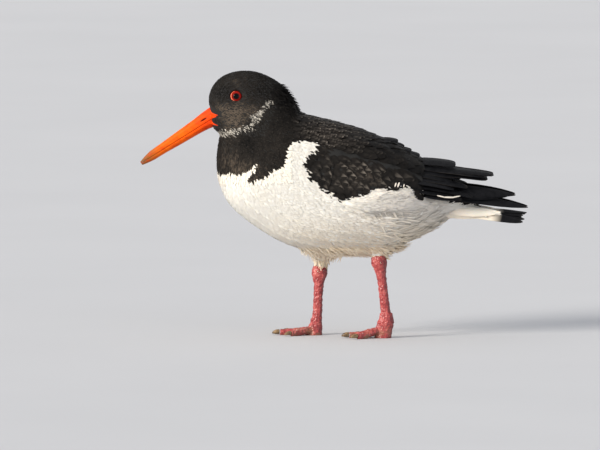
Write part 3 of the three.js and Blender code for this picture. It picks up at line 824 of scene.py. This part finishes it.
for index, (region, look) in enumerate(bodyFeathers.items()):
    inside = lambda p, k=index: regionOf(p) == k
    mantle, pale = region == "mantle", region in ("breast", "belly")
    gap = (lambda p, g=look["gap"]: g * mantleSize(p)) if mantle else look["gap"]
    roots, normals = spacedRoots(gap, 11 + index, inside, look.get("least"))
    lies = liesAt(roots, normals)
    draw = np.random.default_rng(50 + index)
    sizes = mantleSize(roots) * draw.uniform(0.85, 1.15, len(roots)) if mantle else None
    seen = roots + lies * look["length"] * 0.75 * mm
    white = whiteShare(seen)
    if region in ("face", "neck"):
        flat = sideView(seen)
        strap = nearLine(markings["strap"], flat) / markings["strapHalf"]
        chance = markings["strapChance"] * np.exp(-strap ** 2)
        for middle, reach, more in markings["strapDense"]:
            chance += more * glow(flat, middle, reach)
        chosen = draw.random(len(roots)) < chance
        white = np.maximum(white, chosen * draw.uniform(*markings["strapWhite"], len(roots)))
    fringeAndPaintedLight = draw.uniform(0, 0.15, len(roots))
    if region == "face":
        bare = [insideOf(corner, sideView(at)) for corner in bareCorners for at in (roots, seen)]
        good = ~np.any(bare, axis=0)
        roots, normals, lies, white, fringeAndPaintedLight = (a[good] for a in (roots, normals, lies, white, fringeAndPaintedLight))
    if mantle:
        tips = roots + lies * (look["length"] * 1.05 * sizes)[:, None] * mm
        middles = roots + lies * (look["length"] * 0.6 * sizes)[:, None] * mm
        white = (roots[:, 0] > 92 * mm).astype(float)
        good = (whiteShare(tips) + whiteShare(middles) == 0) | (roots[:, 0] > 60 * mm)
        roots, normals, lies, sizes, white = (a[good] for a in (roots, normals, lies, sizes, white))
        nearFront = 0.1 + 0.9 * np.exp(-((roots[:, 0] / mm + 14) / 26) ** 2)
        fringeAndPaintedLight = draw.uniform(0.0, 1, len(roots)) * nearFront
    # on white feathers this fact is the painted shade of the fold
    if pale:
        fringeAndPaintedLight = creaseShade(seen)
    tone = np.where(white > 0.5, draw.random(len(roots)), toneAndLightAt(roots, draw))
    facts = {"sizes": sizes, "fringeAndPaintedLight": fringeAndPaintedLight, "seed": 70 + index}
    piece = growFeathers("feathers_" + region, roots, normals, lies, look, white, tone, **facts)
    finish = mantleFinish if mantle else whiteFinish if pale else featherFinish
    addPiece(piece, finish, "white_plumage" if pale else "dark_plumage")

# folded wings: rows of coverts that overlap backwards and down
wingRows = {
    "first": (-34, 174),
    "rows": 24,
    "perRow": 34,
    "slope": -0.15,
    "step": 5.9,
    "drop": 4.1,
    "stray": (0.9, 0.5),
    "hang": 0.6,
    "end": 88,
    "side": 44,  # the spots start this far out and are moved on to the skin
    "bright": ((14, 137), (32, 13)),  # place and reach of the pale edges and painted glints
    "look": {
        "length": 13.5, "width": 7.6, "lift": 1.1, "arch": 0.22, "roll": 0.3, "turn": 0.2,
        "rows": [0, 0.3, 0.6, 0.85, 1], "outline": [0.35, 0.85, 1, 0.72, 0.15],
    },
}
draw = np.random.default_rng(5)
spots = []
firstX, firstZ = wingRows["first"]
strayX, strayZ = wingRows["stray"]
for row in range(wingRows["rows"]):
    for k in range(wingRows["perRow"]):
        x = firstX + wingRows["step"] * (k + 0.5 * (row % 2)) + draw.uniform(-strayX, strayX)
        z = firstZ - wingRows["drop"] * row + wingRows["slope"] * (x - firstX) + draw.uniform(-strayZ, strayZ)
        spots.append((x, z))
spots = np.array(spots)
spots = spots[insideOf(wingArea, spots) & (spots[:, 0] < wingRows["end"])]
for name, side in (("left", -1), ("right", 1)):
    out = np.full(len(spots), side * float(wingRows["side"]))
    height = (spots[:, 1] + wingRows["side"] * math.sin(photoTilt)) / math.cos(photoTilt)
    roots, normals = onSkin(np.stack([spots[:, 0], out, height], 1) * mm)
    lies = liesAt(roots, normals)
    sizes = 0.8 + 0.9 * smoothStep(0, 85, roots[:, 0] / mm)
    lies = unit(lies + np.array([0, 0, -wingRows["hang"]]))
    tips = roots + lies * (wingRows["look"]["length"] * 0.92 * sizes)[:, None] * mm
    good = (whiteShare(tips) == 0) | ((roots[:, 0] > 66 * mm) & (sideView(tips)[:, 1] > 115.5))
    roots, normals, lies, sizes = (a[good] for a in (roots, normals, lies, sizes))
    bright = glow(sideView(roots), *wingRows["bright"])
    tone = toneAndLightAt(roots, draw)
    fringeAndPaintedLight = draw.uniform(0.1, 1, len(roots)) ** 1.6 * (0.06 + 1.2 * bright)
    facts = {"sizes": sizes, "fringeAndPaintedLight": fringeAndPaintedLight, "seed": 90 + side}
    white = np.zeros(len(roots))
    piece = growFeathers("coverts_" + name, roots, normals, lies, wingRows["look"], white, tone, **facts)
    addPiece(piece, covertFinish, "dark_plumage")


def between(value, low, high):
    return (value > low) & (value < high)


# loose plumage that stands off the outline: nape, flank tuft, vent and the tops of the legs
looseVane = {
    "rows": [0, 0.4, 0.8, 1], "outline": [0.5, 1, 0.6, 0.1], "arch": 0.12, "roll": 0.15, "turn": 0.28,
    "curl": 1.5, "vary": 0.35,
}
looseFeathers = {  # keep says where they grow, from the side view in mm and the points in metres
    "nape": {
        "count": 420, "length": 6.5, "width": 1.5, "lift": 2.4, "white": 0,
        "keep": lambda f, p: (
            between(f[:, 0], -52, -28) & between(f[:, 1], 178, 208) & (abs(p[:, 1]) < 15 * mm)
        ),
    },
    "tuft": {
        "count": 700, "length": 13, "width": 2.2, "lift": 0.75, "white": 1,
        "keep": lambda f, p: insideOf(skinLook["tuft"], f),
    },
    "vent": {
        "count": 1300, "length": 12, "width": 1.4, "lift": 1.5, "white": 1,
        "thin": (18, 78),  # fewer of them towards the front
        "keep": lambda f, p: between(f[:, 0], 18, 98) & (f[:, 1] < 98),
    },
    "legs": {
        "count": 1700, "length": 8.5, "width": 1.2, "lift": 1.2, "white": 1, "hang": 1.0,
        "keep": lambda f, p: between(f[:, 0], -34, 54) & (f[:, 1] < 74),
    },
    "skirt": {
        "count": 520, "length": 9.5, "width": 0.9, "lift": 0.7, "white": 1, "hang": 0.4,
        "gather": "right",  # hairs that run down on to the top of that leg
        "keep": lambda f, p: (abs(f[:, 0] + 11) < 19) & between(f[:, 1], 58, 73) & (p[:, 1] > -14 * mm),
    },
}
for index, (region, own) in enumerate(looseFeathers.items()):
    look = {**looseVane, **own}
    inside = lambda p, k=look["keep"]: k(sideView(p), p)
    points, normals, _ = scatterOver(look["count"], 200 + index, inside)
    draw = np.random.default_rng(300 + index)
    good = inside(points)
    if look.get("thin"):
        good &= draw.random(len(points)) < smoothStep(*look["thin"], points[:, 0] / mm)
    points, normals = points[good], normals[good]
    tone = toneAndLightAt(points, draw) if region == "nape" else draw.random(len(points))
    lies = liesAt(points, normals) + np.array([0, 0, -1.0]) * look.get("hang", 0)
    if look.get("gather"):
        low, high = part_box("shank_" + look["gather"])
        foot = np.array([(low.x + high.x) / 2, (low.y + high.y) / 2, 0.052])
        lies = unit(unit(foot - points) + draw.normal(0, 0.12, points.shape))
    else:
        lies = unit(lies - (lies * normals).sum(1)[:, None] * normals * 0.8)
    hug = region == "tuft"
    facts = {"hug": hug, "fringeAndPaintedLight": creaseShade(points + lies * 8 * mm) if hug else None, "seed": 400 + index}
    white = np.full(len(points), float(look["white"]))
    piece = growFeathers("loose_" + region, points, normals, lies, look, white, tone, **facts)
    finish = whiteFinish if look["white"] else featherFinish
    addPiece(piece, finish, "white_plumage" if look["white"] else "dark_plumage")

# long feathers of wing and tail, each with root, tip and width in mm
tertials = [
    ((58, -9, 144.5), (99.5, -8.6, 142), 14), ((60, -11, 141), (112, -9.6, 134.5), 14),
    ((62, -14, 140.6), (123, -10.4, 133.2), 15), ((66, -16, 139), (130.5, -9.8, 133.6), 10),
    ((66, -17, 136), (125.5, -10.6, 130.4), 12), ((50, -15, 143), (101, -10, 135.5), 16),
    ((50, -19, 140), (104, -12, 132), 16), ((50, -23, 138), (96, -17, 130), 16),
    ((54, -27, 134), (109, -20, 124.5), 12), ((56, -31, 131), (98, -25, 123.5), 12),
    ((60, -32, 127), (113, -22, 117), 11), ((58, -34, 123), (104, -28, 115.6), 10),
    ((34, -7, 161.5), (52.4, -6, 161), 7), ((38, -3, 160), (57.5, -2, 156.8), 7),
    ((44, -9, 154.5), (63.5, -8, 153), 7.5), ((50, -6, 151.5), (70.2, -5, 149.2), 8),
]
primaries = [
    ((74, -27, 121), (118, -15.4, 116.2), 12), ((76, -26, 122), (127, -14, 115.2), 11),
    ((78, -25, 122.5), (134.5, -12.6, 115), 10.5), ((80, -24, 122.6), (141.6, -10.8, 115.8), 9.5),
    ((82, -23, 123.6), (148.6, -9, 117), 9.5), ((84, -22, 118.8), (158.74, -8, 106.8), 8.4),
    ((80, -24, 117.8), (146, -10, 109), 7), ((74, -34, 117.6), (104, -30, 114.2), 4.5),
]
longVane = {
    "rows": [0, 0.12, 0.25, 0.4, 0.55, 0.7, 0.82, 0.91, 0.97, 1.0],
    "rounded": [0.3, 0.6, 0.85, 1, 1, 0.95, 0.82, 0.6, 0.34, 0.1],
    "blunt": [0.3, 0.6, 0.85, 1, 1, 1, 0.97, 0.88, 0.68, 0.3],
    "pointed": [0.3, 0.65, 0.9, 1, 0.98, 0.86, 0.66, 0.42, 0.22, 0.06],
    "across": [-1, -0.6, -0.2, 0, 0.2, 0.6, 1],
    "thick": 0.45,
}


def longFeathers(name, vanes, tones, whites, fringes, bow=1.2, shape="rounded"):
    # every vane is a grid bowed along and across, then given its thickness
    grids, faces, local, facts, patches = [], [], [], [], []
    rows, outline, across = (np.array(longVane[key], float) for key in ("rows", shape, "across"))
    columns = len(across)
    bows = np.zeros(len(vanes)) + bow
    for index, (root, tip, width, facing) in enumerate(vanes):
        root, tip, facing = (np.array(v, float) for v in (root, tip, facing))
        way = unit(tip - root)
        side = unit(np.cross(facing, way))
        up = np.cross(way, side)
        line = root + (tip - root) * rows[:, None] + up * (bows[index] * np.sin(rows * math.pi))[:, None]
        wide = width / 2 * outline[:, None] * across
        dome = 0.09 * width * outline[:, None] * (1 - across ** 2)
        grid = line[:, None, :] + side * wide[..., None] + up * dome[..., None]
        base = index * len(rows) * columns
        for r in range(len(rows) - 1):
            for c in range(columns - 1):
                a = base + r * columns + c
                faces.append((a, a + 1, a + 1 + columns, a + columns))
        flat = np.stack([0.5 + 0.5 * np.outer(outline, across).ravel(), np.repeat(rows, columns)], 1)
        cell = np.array([index % 6, index // 6]) / 6 + 0.01  # a long feather has a patch of its own
        every = np.ones(len(flat))
        white = np.repeat(whites[index] * np.ones(len(rows)), columns)
        grids.append(grid.reshape(-1, 3))
        local.append(flat)
        patches.append(cell + flat * 0.145)
        facts.append([white, tones[index] * every, fringes[index] * every])
    mesh = bpy.data.meshes.new(name)
    mesh.from_pydata((np.concatenate(grids) * mm).tolist(), [], faces)
    corner = np.empty(len(mesh.loops), np.int32)
    mesh.loops.foreach_get("vertex_index", corner)
    addMaps(mesh, np.concatenate(local)[corner], np.concatenate(patches)[corner])
    addPlume(mesh, *np.concatenate(facts, axis=1))
    made = addToScene(name, mesh)
    wall = made.modifiers.new("wall", "SOLIDIFY")
    wall.thickness = longVane["thick"] * mm
    wall.offset = 0
    finishModifiers(made)
    pick(made)
    bpy.ops.object.shade_smooth_by_angle(angle=math.radians(50))
    print(name + ":", len(vanes), "long feathers")
    return made


def mirrored(vanes, side, facing):
    # the listed vanes, or the same on the other side, with the way that their faces look
    flip = np.array([1, side, 1])
    return [(np.array(a) * flip, np.array(b) * flip, w, np.array(facing) * flip) for a, b, w in vanes]


for name, side in (("left", 1), ("right", -1)):
    vanes = mirrored(tertials, side, (0.1, -0.32, 0.94))
    count = len(vanes)
    tones = 0.02 + 0.2 * draw.random(count)
    fringes = 0.12 * draw.random(count)
    piece = longFeathers("tertials_" + name, vanes, tones, [0] * count, fringes, shape="blunt")
    addPiece(piece, flightFinish, "dark_plumage")
    vanes = mirrored(primaries, side, (0.1, -0.8, 0.6))
    count = len(vanes)
    plain = {"whites": [0] * count, "fringes": [0.1] * count, "bow": 0.5, "shape": "pointed"}
    piece = longFeathers("primaries_" + name, vanes, np.linspace(0.05, 0.2, count), **plain)
    addPiece(piece, flightFinish, "dark_plumage")

# tail: white at the base, black towards the tips, under long white coverts
tailLook = {
    "count": 12, "root": 8.5, "spread": 17, "length": 61.5, "width": 8.4, "top": 104.6, "tip": 101.8,
    "start": 98, "black": (0.61, 0.69), "droop": 6.4,
}
vanes = []
middle = (tailLook["count"] - 1) / 2
for k in range(tailLook["count"]):
    a = (k - middle) / middle
    reach = tailLook["length"] * (1 - 0.07 * abs(a) - 0.03 * (k % 2))
    drop = float(smoothStep(0.25, 0.85, abs(a)))
    foot = (tailLook["start"], a * tailLook["root"], tailLook["top"] - 2 * drop)
    end = tailLook["start"] + reach * 0.985
    tip = (end, a * tailLook["spread"], tailLook["tip"] - tailLook["droop"] * drop)
    vanes.append((foot, tip, tailLook["width"], (0.06, 0.95 * a, 1)))
whites = [1 - smoothStep(*tailLook["black"], np.array(longVane["rows"]))] * len(vanes)
piece = longFeathers("tail_feathers", vanes, [0.1] * len(vanes), whites, [0.1] * len(vanes))
addPiece(piece, flightFinish, "dark_plumage")

vanes = []
draw = np.random.default_rng(9)
for side in (-1, 1):
    for k in range(32):
        turn = math.radians(-70 + 150 * k / 31)  # from under the tail up its side
        out, up = math.cos(turn), math.sin(turn)
        start = (84 + 10 * draw.random(), side * (3 + 11 * out), 103 + 5.6 * up)
        end = (125 + 15 * draw.random() - 10 * abs(up), side * (3 + 11 * out), 102.4 + 2.8 * up)
        vanes.append((start, end, 6.5, (0.02, side * out, up)))
    # two more over the seam at the side
    vanes.append(((92, side * 15, 103.6), (132, side * 15.6, 101.9), 6, (0, side, 0.25)))
    vanes.append(((90, side * 14.6, 100.6), (129, side * 15, 100.2), 6, (0, side, -0.3)))
count = len(vanes)
bows = [0.7 if facing[2] > 0 else 2.6 * facing[2] for _, _, _, facing in vanes]
plain = {"whites": [1] * count, "fringes": [0] * count, "bow": bows, "shape": "pointed"}
piece = longFeathers("undertail_coverts", vanes, list(draw.random(count)), **plain)
addPiece(piece, whiteFinish, "white_plumage")

slivers = [  # white marks on the wing
    ((49.5, -46.6, 126.6), (50.6, -46.3, 129.9), 1.0), ((51.8, -46.3, 126.3), (53.2, -46, 130.2), 1.2),
    ((56.6, -45.6, 126.3), (57.2, -45.4, 128.6), 0.9), ((84, -39, 118.9), (91, -38.2, 117.3), 0.9),
    ((88.5, -38.6, 117.5), (98.5, -36.3, 117.1), 1.2), ((95.5, -37, 117), (103, -34.6, 118.2), 0.9),
]
vanes = mirrored(slivers, 1, (0, -1, 0.1)) + mirrored(slivers, -1, (0, -1, 0.1))
count = len(vanes)
piece = longFeathers("wing_slivers", vanes, [0.8] * count, [1] * count, [0] * count, bow=0.3)
addPiece(piece, featherFinish, "white_plumage")
print("long feathers done")

# bill, from the frame's two halves with the bare corners that run back into the face, smoothed
billLook = {
    "colours": [  # from the tip to the face
        (0.0, (0.15, 0.075, 0.022)), (0.1, (0.30, 0.10, 0.018)), (0.26, (0.72, 0.12, 0.003)),
        (0.55, (0.90, 0.125, 0.001)), (0.8, (0.86, 0.072, 0.002)), (1.0, (0.80, 0.05, 0.003)),
    ],
    "ends": (-0.159, -0.094),  # x of the tip and of the face, m
    "blotch": (0.56, 0.028, 0.004),
    # painted shade along the lower edge of the bill
    "edge": (0.30, 0.03, 0.006),
    "slit": (0.10, 0.012, 0.006),
    "nostril": (-0.1068, 0, 0.1786),
    "nostrilTurn": 31,
    "corners": {  # foot and tip in side view, size at the foot and at the tip
        "bill_upper": [((-102, 184.2), (-93.6, 182.7), 2.4, 0.6), ((-102, 180), (-95.6, 181.4), 2.3, 0.8)],
        "bill_lower": [((-102, 174.2), (-95.6, 173.4), 1.5, 0.5)],
    },
}
billFinish, tree = newMaterial("bill")
where = objectPoint(tree)
xyz = axesOf(tree, where)
share = span(tree, xyz[0], *billLook["ends"])
colour = ramp(tree, share, billLook["colours"])
blotches = span(tree, grain(tree, 170, 4, stretch=(1, 1, 2.2)), 0.45, 0.75, 0.0, 0.75)
colour = blendOf(tree, blotches, colour, billLook["blotch"])
under = minus(tree, times(tree, xyz[0], 0.585), xyz[2])  # grows towards the lower edge of the bill, where shade is painted
colour = blendOf(tree, span(tree, under, -0.2325, -0.2285, 0.0, 0.7), colour, billLook["edge"])
turn = {0: where, 1: billLook["nostril"], 3: math.radians(billLook["nostrilTurn"])}
turned = place(tree, "ShaderNodeVectorRotate", turn, rotation_type="Y_AXIS").outputs[0]  # lies along the bill
slit = axesOf(tree, vectorSum(tree, "SUBTRACT", turned, billLook["nostril"]))
long = squared(tree, times(tree, sizeOf(tree, slit[0]), 290.0))
high = squared(tree, times(tree, sizeOf(tree, slit[2]), 1500.0))
colour = blendOf(tree, span(tree, plus(tree, long, high), 1.3, 0.6, 0.0, 0.9), colour, billLook["slit"])
surface(tree, colour, bumpOf(tree, grain(tree, 420, 3), 0.25, 0.2), 0.45, Specular_IOR_Level=0.12)
for node, corners in billLook["corners"].items():
    piece = copyOf(node + "_horn", [node], 0.1)
    balls = []
    for side in (-1, 1):
        for foot, tip, thick, thin in corners:
            for t in np.linspace(0, 1, 9):
                x, z = np.array(foot) + (np.array(tip) - np.array(foot)) * t
                on, up = onSkin(np.array([[x, side * (6 + 5 * t), z + 9 * math.sin(photoTilt)]]) * mm)
                size = thick + (thin - thick) * t
                ball = {"radius": size * mm, "location": on[0] + up[0] * (0.35 - 0.82 * size) * mm}
                bpy.ops.mesh.primitive_uv_sphere_add(segments=16, ring_count=10, **ball)
                balls.append(bpy.context.active_object)
    pick(piece, *balls)
    bpy.ops.object.join()
    melt(piece, 0.38, 2)
    addPiece(piece, billFinish, "bill", node)

# legs and feet
legLook = {
    "colours": [(0.34, (0.25, 0.032, 0.034)), (0.5, (0.41, 0.063, 0.06)), (0.68, (0.58, 0.15, 0.13))],
    "cell": (0.22, 0.02, 0.022),
    # painted shade on the rear side of the legs, away from the key light
    "behind": (0.14, 0.018, 0.02),
    "stain": (0.20, 0.115, 0.06),
    "stainHeight": (0.011, 0.003),
    "knobScale": 420,
    "knobRise": 0.8,
    "plateScale": 190,
    "plateRise": 0.35,
    "heel": {"left": (37, 62.5), "right": (-11.8, 51.5)},
    "heelRise": 0.9,
    "heelReach": 5.5,
}
legFinish, tree = newMaterial("leg skin")
where = objectPoint(tree)
cells = place(tree, "ShaderNodeTexVoronoi", {"Vector": where, "Scale": 620}).outputs["Distance"]
colour = ramp(tree, grain(tree, 230, 4), legLook["colours"])
colour = blendOf(tree, span(tree, cells, 0.5, 0.85, 0.0, 0.4), colour, legLook["cell"])
# painted shade: darker where the leg faces the rear, away from the key light
rearward = axesOf(tree, place(tree, "ShaderNodeNewGeometry").outputs["Normal"])[0]
colour = blendOf(tree, span(tree, rearward, 0.15, 0.85, 0.0, 0.85), colour, legLook["behind"])
low = span(tree, axesOf(tree, where)[2], *legLook["stainHeight"])
stained = times(tree, low, span(tree, grain(tree, 150, 4), 0.46, 0.62, 0.0, 0.7))
colour = blendOf(tree, stained, colour, legLook["stain"])
surface(tree, colour, bumpOf(tree, minus(tree, 1.0, cells), 0.9, 0.6), 0.32, Specular_IOR_Level=0.5)
for side in ("left", "right"):
    piece = copyOf("leg_" + side, ["shank_" + side, "foot_" + side], 0.18)
    melt(piece, 0.55, 2)
    points, normals = verticesOf(piece.data), normalsOf(piece.data)
    low = np.array([noise.voronoi(Vector(p) * legLook["knobScale"])[0][0] for p in points])
    front = normals[:, 0] < -0.3
    ring = np.abs(np.sin(points[:, 2] * legLook["plateScale"] * math.pi)) ** 0.6
    ring = ring * (points[:, 2] > 12 * mm) * front
    rise = legLook["knobRise"] * (0.45 - low) * (1 - ring * 0.5) + legLook["plateRise"] * (ring - 0.5) * front
    heel = np.array(legLook["heel"][side]) * mm
    rise += legLook["heelRise"] * np.exp(-((points[:, 2] - heel[1]) / (legLook["heelReach"] * mm)) ** 2)
    rise *= smoothStep(0.4 * mm, 2.5 * mm, points[:, 2])
    setVertices(piece.data, points + normals * rise[:, None] * mm)
    addPiece(piece, legFinish, "leg_skin", "shank_" + side, "foot_" + side)

clawFinish, tree = newMaterial("claw horn")
colour = ramp(tree, grain(tree, 300, 3), [(0.35, (0.06, 0.036, 0.02)), (0.65, (0.30, 0.19, 0.09))])
surface(tree, colour, None, 0.28)
for side in ("left", "right"):
    for toe in ("inner", "middle", "outer"):
        node = "claw_" + toe + "_" + side
        piece = copyOf(node + "_horn", [node])
        melt(piece, 0.35, 2)
        addPiece(piece, clawFinish, "claw", node)

# eyes
eyeLook = {
    "nudge": (0.4, 0, -0.5),  # mm from the frame's eye
    "pupilAt": 0.1,  # mm behind the middle of the frame's eye
    "iris": 0.0045,
    "colours": [
        (0.0, (0.001, 0.001, 0.001)), (0.47, (0.001, 0.001, 0.001)), (0.6, (0.14, 0.004, 0.002)),
        (0.74, (0.36, 0.01, 0.004)), (0.9, (0.26, 0.006, 0.003)), (1.0, (0.01, 0.001, 0.001)),
    ],
    "ring": [(0.35, (0.66, 0.035, 0.012)), (0.65, (0.95, 0.26, 0.13))],
    "ringInside": (0.30, 0.01, 0.005),
    "ringWave": 0.22,
}
nudge = np.array(eyeLook["nudge"]) * mm
for name in ("left", "right"):
    low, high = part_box("eye_" + name)
    middle = (low + high) / 2
    finish, tree = newMaterial("eye " + name)
    pupil = (middle.x + eyeLook["pupilAt"] * mm, 0, middle.z)
    xyz = axesOf(tree, vectorSum(tree, "SUBTRACT", objectPoint(tree), pupil))
    far = sums(tree, "SQRT", plus(tree, times(tree, xyz[0], xyz[0]), times(tree, xyz[2], xyz[2])))
    colour = ramp(tree, sums(tree, "DIVIDE", far, eyeLook["iris"]), eyeLook["colours"])
    surface(tree, colour, None, 0.06, Specular_IOR_Level=0.14)
    piece = copyOf("eyeball_" + name, ["eye_" + name])
    melt(piece, 0.3, 3)
    setVertices(piece.data, verticesOf(piece.data) + nudge)
    addPiece(piece, finish, "eye", "eye_" + name)

lidFinish, tree = newMaterial("eye ring")
low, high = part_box("eyelid_left")
middle = (low + high) / 2 + Vector(nudge)
flat = vectorSum(tree, "MULTIPLY", objectPoint(tree), (1, 0, 1))
fromMiddle = {0: flat, 1: (middle.x, 0, middle.z)}
far = place(tree, "ShaderNodeVectorMath", fromMiddle, operation="DISTANCE").outputs["Value"]
inner = span(tree, far, 0.0041, 0.0036)  # the ring's inside edge is as dark as the iris
colour = blendOf(tree, inner, ramp(tree, grain(tree, 900, 3), eyeLook["ring"]), eyeLook["ringInside"])
surface(tree, colour, bumpOf(tree, grain(tree, 1500, 2), 0.4, 0.2), 0.4)
for side in ("left", "right"):
    piece = copyOf("eye_ring_" + side, ["eyelid_" + side], -0.16)
    melt(piece, 0.2, 1)
    points = verticesOf(piece.data)
    wave = np.array([noise.noise(Vector(p) * 700) for p in points])
    moved = normalsOf(piece.data) * (eyeLook["ringWave"] * wave)[:, None] * mm
    setVertices(piece.data, points + moved + nudge)
    addPiece(piece, lidFinish, "eyelid", "eyelid_" + side)
print("bill, legs and eyes done")

# floor, light and camera
stageLook = {
    "floor": [(0.545, 0.555, 0.58), (0.595, 0.605, 0.63)],
    "sky": (0.92, 0.93, 0.96),
    "skyStrength": 0.66,
    "sun": 3.9,
    "fill": 0.65,
}
bpy.ops.mesh.primitive_plane_add(size=60, location=(0, 0, 0))
floor = bpy.context.active_object
floor.name = "floor"
finish, tree = newMaterial("floor")
surface(tree, blendOf(tree, grain(tree, 3, 3), *stageLook["floor"]), None, 0.8)
floor.data.materials.append(finish)
floor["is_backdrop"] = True

world = bpy.data.worlds.new("studio")
bpy.context.scene.world = world
world.use_nodes = True
back = world.node_tree.nodes["Background"]
back.inputs[0].default_value = (*stageLook["sky"], 1)
back.inputs[1].default_value = stageLook["skyStrength"]


def addSun(name, azimuth, elevation, strength, spread, colour):
    lamp = bpy.data.lights.new(name, "SUN")
    lamp.energy, lamp.angle, lamp.color = strength, math.radians(spread), colour
    made = addToScene(name, lamp)
    a, e = math.radians(azimuth), math.radians(elevation)
    away = Vector((math.sin(a) * math.cos(e), -math.cos(a) * math.cos(e), math.sin(e)))
    made.rotation_euler = away.to_track_quat("Z", "Y").to_euler()
    made.location = away


addSun("key", -57, 22, stageLook["sun"], 22, (1, 0.945, 0.86))
addSun("fill", 48, 6, stageLook["fill"], 60, (0.85, 0.9, 1))

cameraLook = {"distance": 10.0, "frame": 0.492, "aim": (-0.0279, 0, 0.0917)}
lens = bpy.data.cameras.new("camera")
lens.sensor_width = 36
lens.lens = 36 * cameraLook["distance"] / cameraLook["frame"]
lens.clip_end = 200
eyePoint = addToScene("camera", lens)
back = Vector((0, -math.cos(photoTilt), math.sin(photoTilt)))
eyePoint.location = Vector(cameraLook["aim"]) + back * cameraLook["distance"]
eyePoint.rotation_euler = back.to_track_quat("Z", "Y").to_euler()
bpy.context.scene.camera = eyePoint
bpy.context.scene.view_settings.view_transform = "Standard"
print("floor, light and camera done")

low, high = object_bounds()
